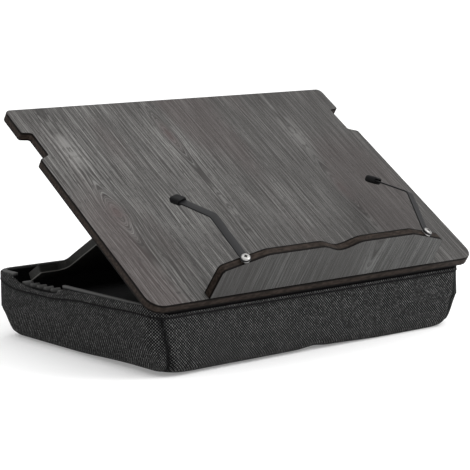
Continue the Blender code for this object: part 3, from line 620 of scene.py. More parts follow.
@dataclass(frozen=True)
class MouldedPlasticFinish:
    """Black moulded plastic with a fine texture and faint scuffs, its colour darkened as painted
    shade and paled on what lies high as painted highlight.
    """

    name: str = "moulded_plastic_black"
    # Darker than the plastic itself: painted shade for the tray's dark inside.
    colour: Triple = (0.0034, 0.0034, 0.0037)
    worn: Triple = (0.0065, 0.0065, 0.0068)
    # The painted highlight's colour, the heights where it starts and its start towards the rear.
    painted_highlight: Triple = (0.090, 0.090, 0.089)
    highlight_heights: Pair = (0.0632, 0.0662)
    highlight_start: Pair = (-0.1125, -0.1085)
    grit_rate: float = 1600.0
    scuff_scale: Triple = (12, 40, 40)
    scuff_rate: float = 4.0
    scuff_spread: Spread = (0.55, 0.8, 0.0, 0.5)
    roughness_by_scuffs: Pair = (0.15, 0.68)
    specular: float = 0.06
    relief: Pair = (0.00008, 0.5)

    def material(self) -> Material:
        """Makes the plastic.

        Returns:
            The material.
        """
        shade = Shader(self.name)
        grit = shade.noise(shade.objects(), self.grit_rate, 2.0, FINE_ROUGHNESS)
        place = shade.objects(scale=self.scuff_scale)
        scuffs = shade.noise(place, self.scuff_rate, 3.0, FINE_ROUGHNESS)
        colour = shade.mix(shade.ramp(scuffs, *self.scuff_spread), self.colour, self.worn)
        _, y, z = shade.parts(shade.objects())
        # Painted highlight on what lies high; the front wall stays dark as painted shadow under the
        # board's edge.
        top_highlight = shade.math("MULTIPLY", shade.ramp(z, *self.highlight_heights),
                          shade.ramp(y, *self.highlight_start))
        shade.set(Base_Color=shade.mix(top_highlight, colour, self.painted_highlight), Specular_IOR_Level=self.specular,
                  Roughness=shade.math("MULTIPLY_ADD", scuffs, *self.roughness_by_scuffs))
        shade.bump(grit, *self.relief)
        return shade.material


@dataclass(frozen=True)
class FibreboardFinish:
    """Dark painted fibreboard, with a painted highlight along the lower face's border."""

    origin: Triple
    turn: float
    edge_highlight_heights: Pair = (-0.0060, -0.0054)
    colour: Triple = (0.0075, 0.0073, 0.0064)
    fibre: Triple = (0.026, 0.0245, 0.021)
    # The painted highlight's colour, and its share at the lower face.
    line: Triple = (0.115, 0.112, 0.104)
    line_share: float = 0.8
    strand_scale: Triple = (40, 420, 420)
    strand_roughness: float = 0.65
    strand_spread: Spread = (0.48, 0.76, 0.0, 0.8)
    peel_rate: float = 900.0
    down_spread: Pair = (0.80, 0.95)
    roughness: float = 0.6
    specular: float = 0.16
    relief: Pair = (0.0001, 0.5)

    def material(self) -> Material:
        """Makes the painted board.

        Returns:
            The material.
        """
        shade = Shader("painted_fibreboard")
        place = shade.objects(scale=self.strand_scale)
        strands = shade.noise(place, 1.0, 3.0, self.strand_roughness)
        peel = shade.noise(shade.objects(), self.peel_rate, 1.0)
        colour = shade.mix(shade.ramp(strands, *self.strand_spread), self.colour, self.fibre)
        height = shade.parts(shade.objects((-self.turn, 0, 0)))[2]
        base = self.origin[2] * math.cos(self.turn) - self.origin[1] * math.sin(self.turn)
        height = shade.math("SUBTRACT", height, base)
        lower_face = (0.0, math.sin(self.turn), -math.cos(self.turn))
        down = shade.facing(lower_face, *self.down_spread)
        # Painted highlight: a pale band on the side faces along the lower face's edges.
        low = shade.ramp(height, *self.edge_highlight_heights, self.line_share, 0.0)
        edge_highlight = shade.math("MULTIPLY", low, shade.math("SUBTRACT", 1.0, down))
        shade.set(Base_Color=shade.mix(edge_highlight, colour, self.line), Roughness=self.roughness,
                  Specular_IOR_Level=self.specular)
        shade.bump(shade.math("ADD", strands, peel), *self.relief)
        return shade.material


@dataclass(frozen=True)
class PlatedSteelFinish:
    """Plated steel with fine brushed lines."""

    name: str
    colour: Triple
    roughness: float
    dulling: float = 0.72
    # Painted shade: the colour for a screw's cross recess.
    recess: Triple = (0.012, 0.012, 0.012)
    line_scale: Triple = (3000, 300, 300)
    line_roughening: float = 0.18
    spot_rate: float = 240.0
    spot_spread: Pair = (0.4, 0.75)
    relief: Pair = (0.00003, 0.4)

    def material(self) -> Material:
        """Makes the plated steel.

        Returns:
            The material.
        """
        shade = Shader(self.name)
        lines = shade.noise(shade.objects(scale=self.line_scale), 1.0)
        spots = shade.noise(shade.objects(), self.spot_rate)
        dull = tuple(value * self.dulling for value in self.colour)
        colour = shade.mix(shade.ramp(spots, *self.spot_spread), self.colour, dull)
        # Painted shade: the marked recess walls take the recess colour.
        recess = shade.node("Attribute", attribute_name="recess").outputs["Fac"]
        shade.set(Base_Color=shade.mix(recess, colour, self.recess), Metallic=1.0,
                  Roughness=shade.math("MULTIPLY_ADD", lines, self.line_roughening, self.roughness))
        shade.bump(lines, *self.relief)
        return shade.material


@dataclass(frozen=True)
class PaintedSteelFinish:
    """Satin grey paint on steel strip."""

    name: str = "satin_grey_paint"
    colour: Triple = (0.0135, 0.0135, 0.0145)
    darkening: float = 0.8
    peel_rate: float = 1400.0
    tone_rate: float = 90.0
    roughness: float = 0.5
    specular: float = 0.2
    relief: Pair = (0.00005, 0.4)

    def material(self) -> Material:
        """Makes the painted steel.

        Returns:
            The material.
        """
        shade = Shader(self.name)
        peel = shade.noise(shade.objects(), self.peel_rate)
        tone = shade.noise(shade.objects(), self.tone_rate)
        darker = tuple(value * self.darkening for value in self.colour)
        shade.set(Base_Color=shade.mix(tone, darker, self.colour), Roughness=self.roughness,
                  Specular_IOR_Level=self.specular)
        shade.bump(peel, *self.relief)
        return shade.material


@dataclass(frozen=True)
class MottledFinish:
    """A dull surface whose two tones meet in fine mottles, which also give its relief."""

    name: str
    colour: Triple
    paler: Triple
    rate: float
    detail: float
    spread: Spread
    roughness: float
    specular: float
    relief: Pair

    def material(self) -> Material:
        """Makes the surface.

        Returns:
            The material.
        """
        shade = Shader(self.name)
        mottles = shade.noise(shade.objects(), self.rate, self.detail, FINE_ROUGHNESS)
        colour = shade.mix(shade.ramp(mottles, *self.spread), self.colour, self.paler)
        shade.set(Base_Color=colour, Roughness=self.roughness, Specular_IOR_Level=self.specular)
        shade.bump(mottles, *self.relief)
        return shade.material


DIPPED_RUBBER = MottledFinish(
    "dipped_rubber_black", colour=(0.0065, 0.0065, 0.007), paler=(0.01365, 0.01365, 0.0147),
    rate=700.0, detail=3.0, spread=(0.5, 0.8, 0.0, 0.6), roughness=0.7, specular=0.18,
    relief=(0.00006, 0.5))
PIPING_CLOTH = MottledFinish(
    "piping_cord_cloth", colour=(0.005, 0.005, 0.0053), paler=(0.020, 0.020, 0.020),
    rate=1300.0, detail=2.0, spread=(0.45, 0.75, 0.0, 1.0), roughness=0.92, specular=0.06,
    relief=(0.0002, 0.7))


def smooth(share: float) -> float:
    """Returns a share eased at both ends."""
    held = min(1.0, max(0.0, share))
    return held * held * (3 - 2 * held)


@dataclass(frozen=True)
class RoundedPlan:
    """The plan of the tray and of all that wraps it: a rounded rectangle.

    A run is a distance along its perimeter, from the middle of the rear and
    clockwise from above.
    """

    half_width: float
    half_depth: float
    radius: float
    middle: float

    def grown(self, distance: float) -> "RoundedPlan":
        """Returns the same plan, larger by a distance all round."""
        sizes = (size + distance for size in (self.half_width, self.half_depth, self.radius))
        return RoundedPlan(*sizes, self.middle)

    def quarter(self) -> float:
        """Returns a quarter of the plan's perimeter."""
        return self.half_width + self.half_depth - 2 * self.radius + self.radius * math.pi / 2

    def point(self, run: float) -> Vector:
        """Finds the point at a run.

        Args:
            run: The run.

        Returns:
            The point, at height 0.
        """
        quarter = self.quarter()
        place = run % (4 * quarter)
        index = int(place // quarter)
        rest = place - index * quarter
        if index % 2:
            rest = quarter - rest
        flat_x = self.half_width - self.radius
        arc = self.radius * math.pi / 2
        if rest <= flat_x:
            x, y = rest, self.half_depth
        elif rest <= flat_x + arc:
            angle = (rest - flat_x) / self.radius
            x = flat_x + self.radius * math.sin(angle)
            y = self.half_depth - self.radius + self.radius * math.cos(angle)
        else:
            x, y = self.half_width, self.half_depth - self.radius - (rest - flat_x - arc)
        right = 1 if index in (0, 1) else -1
        rear = 1 if index in (0, 3) else -1
        return Vector((right * x, rear * y + self.middle, 0))

    def run(self, x: float, y: float) -> float:
        """Finds the run that is nearest to a point.

        Args:
            x: The point's x.
            y: The point's y.

        Returns:
            The run.
        """
        side, depth = abs(x), abs(y - self.middle)
        flat_x, flat_y = self.half_width - self.radius, self.half_depth - self.radius
        arc = self.radius * math.pi / 2
        if side > flat_x and depth > flat_y:
            part = flat_x + self.radius * math.atan2(side - flat_x, depth - flat_y)
        elif self.half_width - side < self.half_depth - depth:
            part = flat_x + arc + flat_y - depth
        else:
            part = side
        quarter = self.quarter()
        if x >= 0:
            return part if y >= self.middle else 2 * quarter - part
        return 2 * quarter + part if y < self.middle else 4 * quarter - part

    def outside(self, x: float, y: float) -> tuple[float, Vector]:
        """Finds how far a point lies outside the plan.

        Args:
            x: The point's x.
            y: The point's y.

        Returns:
            The signed distance and the outward direction.
        """
        side = abs(x) - (self.half_width - self.radius)
        depth = abs(y - self.middle) - (self.half_depth - self.radius)
        sign = Vector((math.copysign(1, x), math.copysign(1, y - self.middle), 0))
        if side > 0 and depth > 0:
            away = Vector((side, depth, 0))
            return away.length - self.radius, Vector(a * b for a, b in zip(away.normalized(), sign))
        if side > depth:
            return side - self.radius, Vector((sign.x, 0, 0))
        return depth - self.radius, Vector((0, sign.y, 0))


def linked(name: str, data: bpy.types.ID) -> bpy.types.Object:
    """Puts a mesh, a curve, a light or a camera into the scene.

    Args:
        name: The object's name.
        data: What it shows.

    Returns:
        The object.
    """
    made = bpy.data.objects.new(name, data)
    bpy.context.scene.collection.objects.link(made)
    return made


def as_mesh(name: str, bm: BMesh) -> Mesh:
    """Turns a bmesh into a mesh, and frees it.

    Args:
        name: The mesh's name.
        bm: The bmesh.

    Returns:
        The mesh.
    """
    mesh = bpy.data.meshes.new(name)
    bm.to_mesh(mesh)
    bm.free()
    return mesh


def opened(mesh: Mesh) -> BMesh:
    """Copies a mesh into a bmesh, which can be edited.

    Args:
        mesh: The mesh.

    Returns:
        The bmesh.
    """
    bm = bmesh.new()
    bm.from_mesh(mesh)
    return bm


def applied(source: bpy.types.Object) -> Mesh:
    """Applies an object's modifiers, and removes the object.

    Args:
        source: The object.

    Returns:
        The new mesh.
    """
    graph = bpy.context.evaluated_depsgraph_get()
    mesh = bpy.data.meshes.new_from_object(source.evaluated_get(graph))
    bpy.data.objects.remove(source)
    return mesh


def evened(name: str, mesh: Mesh, voxel: float) -> Mesh:
    """Turns a mesh into an even voxel mesh.

    Args:
        name: The mesh's name.
        mesh: The mesh.
        voxel: The voxels' size.

    Returns:
        The even mesh.
    """
    block = linked(name, mesh)
    change = block.modifiers.new("even", "REMESH")
    change.mode = "VOXEL"
    change.voxel_size = voxel
    return applied(block)


def add_piece(name: str, bm: BMesh, body: Body, finish: Material,
              angle: float) -> bpy.types.Object:
    """Turns a bmesh into a shown piece that rides on a body.

    Args:
        name: The piece's name.
        bm: Its bmesh, which is freed.
        body: The body it rides on.
        finish: Its material.
        angle: The edge angle in degrees from which its shading breaks.

    Returns:
        The piece.
    """
    mesh = as_mesh(name, bm)
    mesh.shade_smooth()
    mesh.set_sharp_from_angle(angle=math.radians(angle))
    mesh.materials.append(finish)
    made = linked(name, mesh)
    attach(made, body.value)
    LOG.info("%s: %d faces on %s", name, len(mesh.polygons), body.value)
    return made


def dress(node: bpy.types.Object, finish: Material) -> None:
    """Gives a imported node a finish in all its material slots.

    Args:
        node: The node.
        finish: The material.
    """
    if not node.material_slots:
        node.data.materials.append(finish)
    for place in node.material_slots:
        place.material = finish
    LOG.info("%s: packed solid in %s", node.name, finish.name)


def ease_edges(node: bpy.types.Object, width: float) -> None:
    """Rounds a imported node's sharp edges with a modifier.

    Args:
        node: The node.
        width: The rounding's width.
    """
    change = node.modifiers.new("eased_edges", "BEVEL")
    change.width = width
    change.segments = 2
    change.limit_method = "ANGLE"
    change.angle_limit = EASED_ANGLE


@dataclass
class WovenCover:
    """The woven cover: cushion and skirt in one, the piping on the seam and the hem over the rim.

    The seam's places and the hem's places in the dips are distances from the
    tray's middle, towards the rear.
    """

    pose: DeskPose
    tray_plan: RoundedPlan = field(init=False)
    plan: RoundedPlan = field(init=False)
    cloth: Material = field(init=False)
    cord: Material = field(init=False)
    tray_half_width: float = 0.1915
    tray_half_depth: float = 0.1315
    tray_radius: float = 0.0185
    fit: float = 0.0003
    cloth_thickness: float = 0.0012
    tray_base: float = 0.0313
    rim: float = 0.0664
    pad_height: float = 0.031
    block_top: float = 0.066
    corner_faces: int = 8
    piping_radius: float = 0.0009
    piping_points: int = 360
    seam_mean: float = 0.0553
    seam_wave: float = 0.004
    seam_places: tuple[float, ...] = (-0.1315, -0.1118, -0.0263, 0.0395, 0.0879, 0.1315)
    seam_rises: tuple[float, ...] = (0.0, 0.55, 0.1, -0.9, -0.95, 0.85)
    seam_gap: float = 0.0004
    lining_gap: float = 0.0001
    dip_front: float = 0.0121
    dip_hem: tuple[Pair, ...] = (
        (0.0121, 0.0620), (0.0165, 0.0598), (0.0230, 0.0577), (0.0310, 0.0566), (0.0420, 0.0561),
        (0.0620, 0.0563), (0.0740, 0.0572), (0.0876, 0.0601), (0.0979, 0.0642), (0.1030, 0.0654),
        (0.1080, 0.0656))
    hem_sections: int = 300
    hem_drop: float = 0.0008
    hem_edge: float = 0.0005
    bared_rim: float = 0.0026
    bared_start: float = -0.1180
    relief_low: float = 0.0589
    relief_start: float = -0.132335
    relief_slope: float = 1.27994
    valley_height: float = 0.0022
    valley_half_width: float = 0.022
    end_insets: tuple[float, ...] = (0.0, 0.003, 0.006, 0.0085, 0.011, 0.015, 0.024, 0.036, 0.046)
    side_insets: tuple[float, ...] = (
        0.0, 0.0003, 0.0008, 0.0015, 0.0028, 0.006, 0.010, 0.015, 0.024)
    inset_heights: tuple[float, ...] = (
        0.031, 0.0239, 0.0178, 0.0123, 0.0077, 0.0041, 0.0016, 0.0004, 0.0)
    slack: float = -0.0004
    voxel: float = 0.0042
    held_start: float = 0.6
    held_run: float = 0.5
    swell_frames: int = 20
    swell_pressure: float = 4.0
    swell_limit: float = 0.0016
    shrink_limit: float = 0.0004
    ripple: Triple = (26, 30, 3.1)
    crinkle: Triple = (90, 55, 9.7)
    ripple_depth: float = 0.0005
    crinkle_share: float = 0.4
    ripple_fade: float = 0.02
    fullness_start: float = 0.12
    fullness_run: float = 0.09
    fullness_top: float = 0.026
    fullness_fade: float = 0.016
    corner_fullness: float = 0.0024
    corner_seam: Pair = (-0.0010, 0.0115)
    corner_groove: float = 0.0023
    corner_groove_width: float = 0.0038
    wall_groove: float = 0.0009
    resting: float = 0.001
    flat_normal: float = 0.8
    shading_angle: float = 60
    crease_width: float = 0.0032
    crease_shade: float = 0.92
    under_seam: float = 0.0035
    under_seam_shade: float = 0.45
    hem_shade_height: float = 0.0016
    hem_shade: float = 0.5

    def __post_init__(self) -> None:
        """Works out the cover's plan and makes its two finishes."""
        self.tray_plan = RoundedPlan(self.tray_half_width, self.tray_half_depth,
                                     self.tray_radius, self.pose.tray_middle)
        self.plan = self.tray_plan.grown(self.fit + self.cloth_thickness)
        self.cloth = WovenFinish().material()
        self.cord = PIPING_CLOTH.material()

    def build(self) -> None:
        """Builds the cushion with its skirt, the piping and the hem."""
        self._build_cushion()
        self._build_piping()
        self._build_hem()

    def seam_height(self, y: float) -> float:
        """Finds the seam's height at a place along the side.

        Args:
            y: The place, in the model's frame.

        Returns:
            The height.
        """
        places = self.seam_places
        place = max(places[0], min(places[-1], y - self.pose.tray_middle))
        for index in range(len(places) - 1):
            if place <= places[index + 1]:
                share = (place - places[index]) / (places[index + 1] - places[index])
                eased = (1 - math.cos(math.pi * share)) / 2
                low, high = self.seam_rises[index:index + 2]
                return self.seam_mean + self.seam_wave * (low + (high - low) * eased)
        return self.seam_mean

    def rim_height(self, y: float) -> float:
        """Finds the height of the tray's rim in front of its dips.

        Args:
            y: The place along the side, in the model's frame.

        Returns:
            The height.
        """
        place = y - self.pose.tray_middle
        front = self.relief_low + max(0.0, (place - self.relief_start) * self.relief_slope)
        return min(self.rim, front)

    def hem_height(self, y: float) -> float:
        """Finds the height of the hem's top edge at a place along the side.

        Args:
            y: The place, in the model's frame.

        Returns:
            The height.
        """
        place = y - self.pose.tray_middle
        if place <= self.dip_front:
            drop = (place - self.bared_start) / (self.dip_front - self.bared_start)
            return self.rim_height(y) - self.hem_drop - self.bared_rim * min(1.0, max(0.0, drop))
        for (first, low), (last, high) in zip(self.dip_hem, self.dip_hem[1:]):
            if place <= last:
                return low + (high - low) * (place - first) / (last - first)
        return self.dip_hem[-1][1]

    def _inset(self, height: float, insets: Sequence[float]) -> float:
        """Finds the pad's inset at a height, between the given ones.

        Args:
            height: The height.
            insets: The insets at the inset heights.

        Returns:
            The inset.
        """
        heights = self.inset_heights
        if height >= heights[0]:
            return insets[0]
        for index in range(len(heights) - 1):
            if height >= heights[index + 1]:
                span = heights[index] - heights[index + 1]
                share = (heights[index] - height) / span
                return insets[index] + (insets[index + 1] - insets[index]) * share
        return insets[-1]

    def _block(self) -> BMesh:
        """Builds the cover's block before it swells: the pad, drawn in below, and the skirt.

        Returns:
            The block's bmesh.
        """
        bm = bmesh.new()
        bmesh.ops.create_cube(bm, size=1)
        size = (2 * self.plan.half_width, 2 * self.plan.half_depth, self.block_top)
        bmesh.ops.scale(bm, vec=size, verts=bm.verts)
        bmesh.ops.translate(bm, vec=(0, 0, self.block_top / 2), verts=bm.verts)
        upright = [edge for edge in bm.edges
                   if abs((edge.verts[0].co - edge.verts[1].co).z) > self.pad_height]
        bmesh.ops.bevel(bm, geom=upright, offset=self.plan.radius, segments=self.corner_faces,
                        profile=0.5, affect="EDGES", material=-1)
        for height in (*self.inset_heights[1:-1], self.inset_heights[0]):
            self._slice(bm, (0, 0, height), (0, 0, 1))
        for share in (-1, -0.5, 0, 0.5, 1):
            self._slice(bm, (share * self.valley_half_width, 0, 0), (1, 0, 0))
        flat_x = self.plan.half_width - self.plan.radius
        flat_y = self.plan.half_depth - self.plan.radius
        for vert in bm.verts:
            slack = self.slack * (1 - smooth(vert.co.z / self.tray_base))
            end = self._inset(vert.co.z, self.end_insets) + slack
            side = self._inset(vert.co.z, self.side_insets) + slack
            vert.co.x = self._drawn(vert.co.x, flat_x, end)
            vert.co.y = self._drawn(vert.co.y, flat_y, side) + self.pose.tray_middle
            reach = smooth(1 - abs(vert.co.x) / self.valley_half_width)
            vert.co.z += self.valley_height * reach * (1 - smooth(vert.co.z / self.pad_height))
        return bm

    def _slice(self, bm: BMesh, point: Triple, normal: Triple) -> None:
        """Cuts new edges into a bmesh where a plane crosses it."""
        geometry = [*bm.verts, *bm.edges, *bm.faces]
        bmesh.ops.bisect_plane(bm, geom=geometry, plane_co=point, plane_no=normal)

    def _drawn(self, value: float, flat: float, inset: float) -> float:
        """Moves a coordinate inwards by an inset, evenly over the flat stretch.

        Args:
            value: The coordinate.
            flat: Half of the flat stretch.
            inset: How far the end moves.

        Returns:
            The moved coordinate.
        """
        if abs(value) <= flat:
            return value * (flat - inset) / flat
        return value - math.copysign(inset, value)

    def _swollen(self, mesh: Mesh) -> Mesh:
        """Swells a mesh by a cloth simulation, with each point's movement capped.

        Args:
            mesh: The even mesh.

        Returns:
            The swollen mesh.
        """
        block = linked("cover_cloth", mesh)
        before = [(vert.co.copy(), vert.normal.copy()) for vert in mesh.vertices]
        held = block.vertex_groups.new(name="on_tray")
        for vert in mesh.vertices:
            above = vert.co.z - self.held_start * self.tray_base
            weight = smooth(above / (self.held_run * self.tray_base))
            if weight > 0:
                held.add([vert.index], weight, "REPLACE")
        cloth = block.modifiers.new("swell", "CLOTH")
        cloth.settings.use_pressure = True
        cloth.settings.uniform_pressure_force = self.swell_pressure
        cloth.settings.vertex_group_mass = held.name
        cloth.settings.effector_weights.gravity = 0.0
        cloth.point_cache.frame_start = 1
        cloth.point_cache.frame_end = self.swell_frames
        scene = bpy.context.scene
        for frame_number in range(1, self.swell_frames + 1):
            scene.frame_set(frame_number)
        swollen = applied(block)
        scene.frame_set(1)
        for vert, (start, outward) in zip(swollen.vertices, before):
            moved = vert.co - start
            limit = self.swell_limit if moved.dot(outward) > 0 else self.shrink_limit
            if moved.length > limit:
                moved *= limit / moved.length
            vert.co = start + moved
        return swollen

    def _build_cushion(self) -> None:
        """Builds the cushion and its skirt as one closed, sewn form."""
        mesh = evened("cover_block", as_mesh("cover_block", self._block()), self.voxel)
        mesh = self._swollen(mesh)
        shape = linked("cover_shape", mesh)
        finer = shape.modifiers.new("finer", "SUBSURF")
        finer.levels = finer.render_levels = 1
        bm = opened(applied(shape))
        for vert in bm.verts:
            self._settle(vert)
        self._cut_at_seam(bm)
        self._line(bm)
        bmesh.ops.recalc_face_normals(bm, faces=bm.faces)
        self._map_weave(bm)
        self._mark_creases(bm)
        cushion = add_piece("lap_cushion", bm, Body.BASE, self.cloth,
                            self.shading_angle)
        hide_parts("cushion_pad", "side_skirt")

    def _settle(self, vert: bmesh.types.BMVert) -> None:
        """Rests a point on the floor, keeps it off the tray and sews the corner seams in.

        Args:
            vert: The point.
        """
        place = vert.co
        away, outward = self.plan.outside(place.x, place.y)
        run = self.plan.run(place.x, place.y)
        if place.z > self.tray_base:
            place += outward * (-away)
        wrinkle = self._wrinkle(run, place.z, self.ripple)
        wrinkle += self.crinkle_share * self._wrinkle(run, place.z, self.crinkle)
        fullness = smooth((abs(place.x - place.y) - self.fullness_start) / self.fullness_run)
        fullness *= smooth((self.fullness_top - place.z) / self.fullness_fade)
        place.z -= self.corner_fullness * fullness
        low = smooth((self.seam_mean - place.z) / self.ripple_fade)
        if place.z > 2 * self.resting:
            place += outward * (self.ripple_depth * low * wrinkle)
        share = self._corner_distance(place) / self.corner_groove_width
        depth = self.corner_groove * math.exp(-(share ** 2))
        if place.z > self.resting:
            place -= outward * min(depth, self.wall_groove if place.z > self.tray_base else depth)
        place.z = max(place.z, 0.0)

    def _wrinkle(self, run: float, height: float, rates: Triple) -> float:
        """Returns a wrinkle's depth, from its rates along the run and up, and its shift."""
        return noise.noise(Vector((run * rates[0], height * rates[1], rates[2])))

    def _corner_distance(self, place: Vector) -> float:
        """Finds the distance along the perimeter to the nearest corner seam, which leans.

        Args:
            place: The point.

        Returns:
            The distance.
        """
        quarter = self.plan.quarter()
        part = self.plan.run(place.x, place.y) % (2 * quarter)
        part = min(part, 2 * quarter - part)
        low, high = self.corner_seam
        lean = low + (high - low) * place.z / self.seam_mean
        return abs(part - (self.plan.half_width - self.plan.radius + lean))

    def _cut_at_seam(self, bm: BMesh) -> None:
        """Cuts the form off along the wavy seam.

        Args:
            bm: The form.
        """
        for vert in bm.verts:
            vert.co.z -= self.seam_height(vert.co.y)
        bmesh.ops.bisect_plane(bm, geom=[*bm.verts, *bm.edges, *bm.faces],
                               plane_co=(0, 0, -self.seam_gap), plane_no=(0, 0, 1),
                               clear_outer=True)
        for vert in bm.verts:
            vert.co.z += self.seam_height(vert.co.y)

    def _line(self, bm: BMesh) -> None:
        """Turns the cut edge in to the tray's wall, down it and under the tray, and closes it.

        Args:
            bm: The form.
        """
        wall = self.tray_plan.grown(self.fit + self.lining_gap)
        turned_in, edges = self._extruded(bm, [edge for edge in bm.edges if edge.is_boundary])
        for vert in turned_in:
            away, outward = wall.outside(vert.co.x, vert.co.y)
            vert.co -= outward * away
        lowered, edges = self._extruded(bm, edges)
        for vert in lowered:
            vert.co.z = self.pad_height + self.lining_gap
        bmesh.ops.edgenet_fill(bm, edges=edges)

    def _extruded(self, bm: BMesh, edges: Edges) -> tuple[Verts, Edges]:
        """Extrudes the edges of an opening.

        Args:
            bm: The form.
            edges: The edges.

        Returns:
            The new points and the new free edges.
        """
        grown = bmesh.ops.extrude_edge_only(bm, edges=edges)["geom"]
        verts = [part for part in grown if isinstance(part, bmesh.types.BMVert)]
        free = [part for part in grown if isinstance(part, bmesh.types.BMEdge) and part.is_boundary]
        return verts, free

    def _map_weave(self, bm: BMesh) -> None:
        """Writes the weave map: the run and the height, or the plan where the cloth lies flat.

        Args:
            bm: The form.
        """
        layer = bm.loops.layers.uv.new("weave")
        whole = 4 * self.plan.quarter()
        for face in bm.faces:
            flat = abs(face.normal.z) > self.flat_normal
            runs = [self.plan.run(loop.vert.co.x, loop.vert.co.y) for loop in face.loops]
            wraps = max(runs) - min(runs) > whole / 2
            for loop, run in zip(face.loops, runs):
                place = loop.vert.co
                if flat:
                    loop[layer].uv = (place.x, place.y)
                else:
                    past_start = wraps and run < whole / 2
                    loop[layer].uv = (run + whole if past_start else run, place.z)

    def _mark_creases(self, bm: BMesh) -> None:
        """Writes the painted shade: dark in the sewn corner creases, and darkening over the last
        few millimetres below the seam.

        Args:
            bm: The form.
        """
        layer = bm.verts.layers.float.new("painted_shade")
        for vert in bm.verts:
            near = math.exp(-((self._corner_distance(vert.co) / self.crease_width) ** 2))
            below = vert.co.z - self.seam_height(vert.co.y) + self.under_seam
            on_side = 1.0 if vert.co.z > self.resting else 0.0
            vert[layer] = min(1.0, self.crease_shade * near * on_side
                              + self.under_seam_shade * smooth(below / self.under_seam))

    def _build_piping(self) -> None:
        """Builds the piping: a corded tube that follows the seam."""
        route = self.tray_plan.grown(self.fit + self.piping_radius)
        curve = bpy.data.curves.new("seam_piping", "CURVE")
        curve.dimensions = "3D"
        curve.bevel_depth = self.piping_radius
        curve.bevel_resolution = 3
        line = curve.splines.new("POLY")
        line.points.add(self.piping_points - 1)
        for index, point in enumerate(line.points):
            place = route.point(4 * route.quarter() * index / self.piping_points)
            point.co = (place.x, place.y, self.seam_height(place.y), 1.0)
        line.use_cyclic_u = True
        bm = opened(applied(linked("seam_piping_curve", curve)))
        bmesh.ops.remove_doubles(bm, verts=bm.verts, dist=2 * MERGE_DISTANCE)
        bmesh.ops.recalc_face_normals(bm, faces=bm.faces)
        piping = add_piece("seam_piping", bm, Body.BASE, self.cord,
                           self.shading_angle)
        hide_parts("band_piping")

    def _hem_runs(self) -> list[float]:
        """Lists the runs of the hem's sections: even ones, and one at each bend of its top edge.

        Returns:
            The runs in order.
        """
        whole = 4 * self.plan.quarter()
        runs = [whole * index / self.hem_sections for index in range(self.hem_sections)]
        for place, _ in self.dip_hem:
            y = place + self.pose.tray_middle
            runs += [self.plan.run(side * self.plan.half_width, y) for side, _ in SIDES]
        return sorted(runs)

    def _build_hem(self) -> None:
        """Builds the hem: a doubled strip of cloth on the seam, round the tray's wall."""
        runs = self._hem_runs()
        inner = -self.cloth_thickness + self.lining_gap
        edge, ease = self.hem_edge, self.hem_edge / 2
        # Each stage is how far a ring lies outside the cover's plan, and its height at a place.
        stages = (
            (0.0, lambda y: self.seam_height(y) + self.seam_gap),
            (0.00025, lambda y: self._between(y, 0.25)),
            (0.00030, lambda y: self._between(y, 0.75)),
            (0.00010, lambda y: self.hem_height(y) - edge),
            (-ease, lambda y: self.hem_height(y) - self.lining_gap),
            (0.5 * inner, self.hem_height),
            (inner + ease, lambda y: self.hem_height(y) - self.lining_gap),
            (inner, lambda y: self.hem_height(y) - edge),
            (inner, lambda y: self.seam_height(y) + self.seam_gap),
        )
        bm = bmesh.new()
        bmesh.ops.create_circle(bm, segments=len(runs), radius=1)
        ring, edges = list(bm.verts), list(bm.edges)
        loops = []
        for index, (offset, height) in enumerate(stages):
            if index:
                ring, edges = self._next_ring(bm, ring, edges)
            self._place_ring(ring, runs, offset, height)
            loops.append(edges)
        bmesh.ops.bridge_loops(bm, edges=[*loops[0], *loops[-1]])
        bmesh.ops.recalc_face_normals(bm, faces=bm.faces)
        self._map_weave(bm)
        # Painted shade at the foot of the hem, darkest at the seam.
        layer = bm.verts.layers.float.new("painted_shade")
        for vert in bm.verts:
            above = (vert.co.z - self.seam_height(vert.co.y)) / self.hem_shade_height
            vert[layer] = self.hem_shade * smooth(1 - above)
        hem = add_piece("rim_hem", bm, Body.BASE, self.cloth, self.shading_angle)
        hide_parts("rim_band")

    def _between(self, y: float, share: float) -> float:
        """Returns a height between the seam and the hem's top."""
        low = self.seam_height(y) + self.seam_gap
        return low + (self.hem_height(y) - self.hem_edge - low) * share

    def _next_ring(self, bm: BMesh, ring: Verts, edges: Edges) -> tuple[Verts, Edges]:
        """Extrudes a ring.

        Args:
            bm: The bmesh.
            ring: The ring's points in order.
            edges: The ring's edges.

        Returns:
            The new points in the same order, and the new edges.
        """
        grown = bmesh.ops.extrude_edge_only(bm, edges=edges)["geom"]
        fresh = {part for part in grown if isinstance(part, bmesh.types.BMVert)}
        following = []
        for vert in ring:
            others = (edge.other_vert(vert) for edge in vert.link_edges)
            following.append(next(other for other in others if other in fresh))
        new_edges = [part for part in grown if isinstance(part, bmesh.types.BMEdge)
                     and part.verts[0] in fresh and part.verts[1] in fresh]
        return following, new_edges

    def _place_ring(self, ring: Verts, runs: Sequence[float], offset: float,
                    height: Callable[[float], float]) -> None:
        """Puts a ring's points on the plan, grown by an offset, at their heights.

        Args:
            ring: The points in order.
            runs: Their runs round the cover's plan.
            offset: How far the ring lies outside the cover's plan.
            height: The height for each y.
        """
        for vert, run in zip(ring, runs):
            base = self.plan.point(run)
            _, outward = self.plan.outside(base.x, base.y)
            place = base + outward * offset
            vert.co = (place.x, place.y, height(base.y))


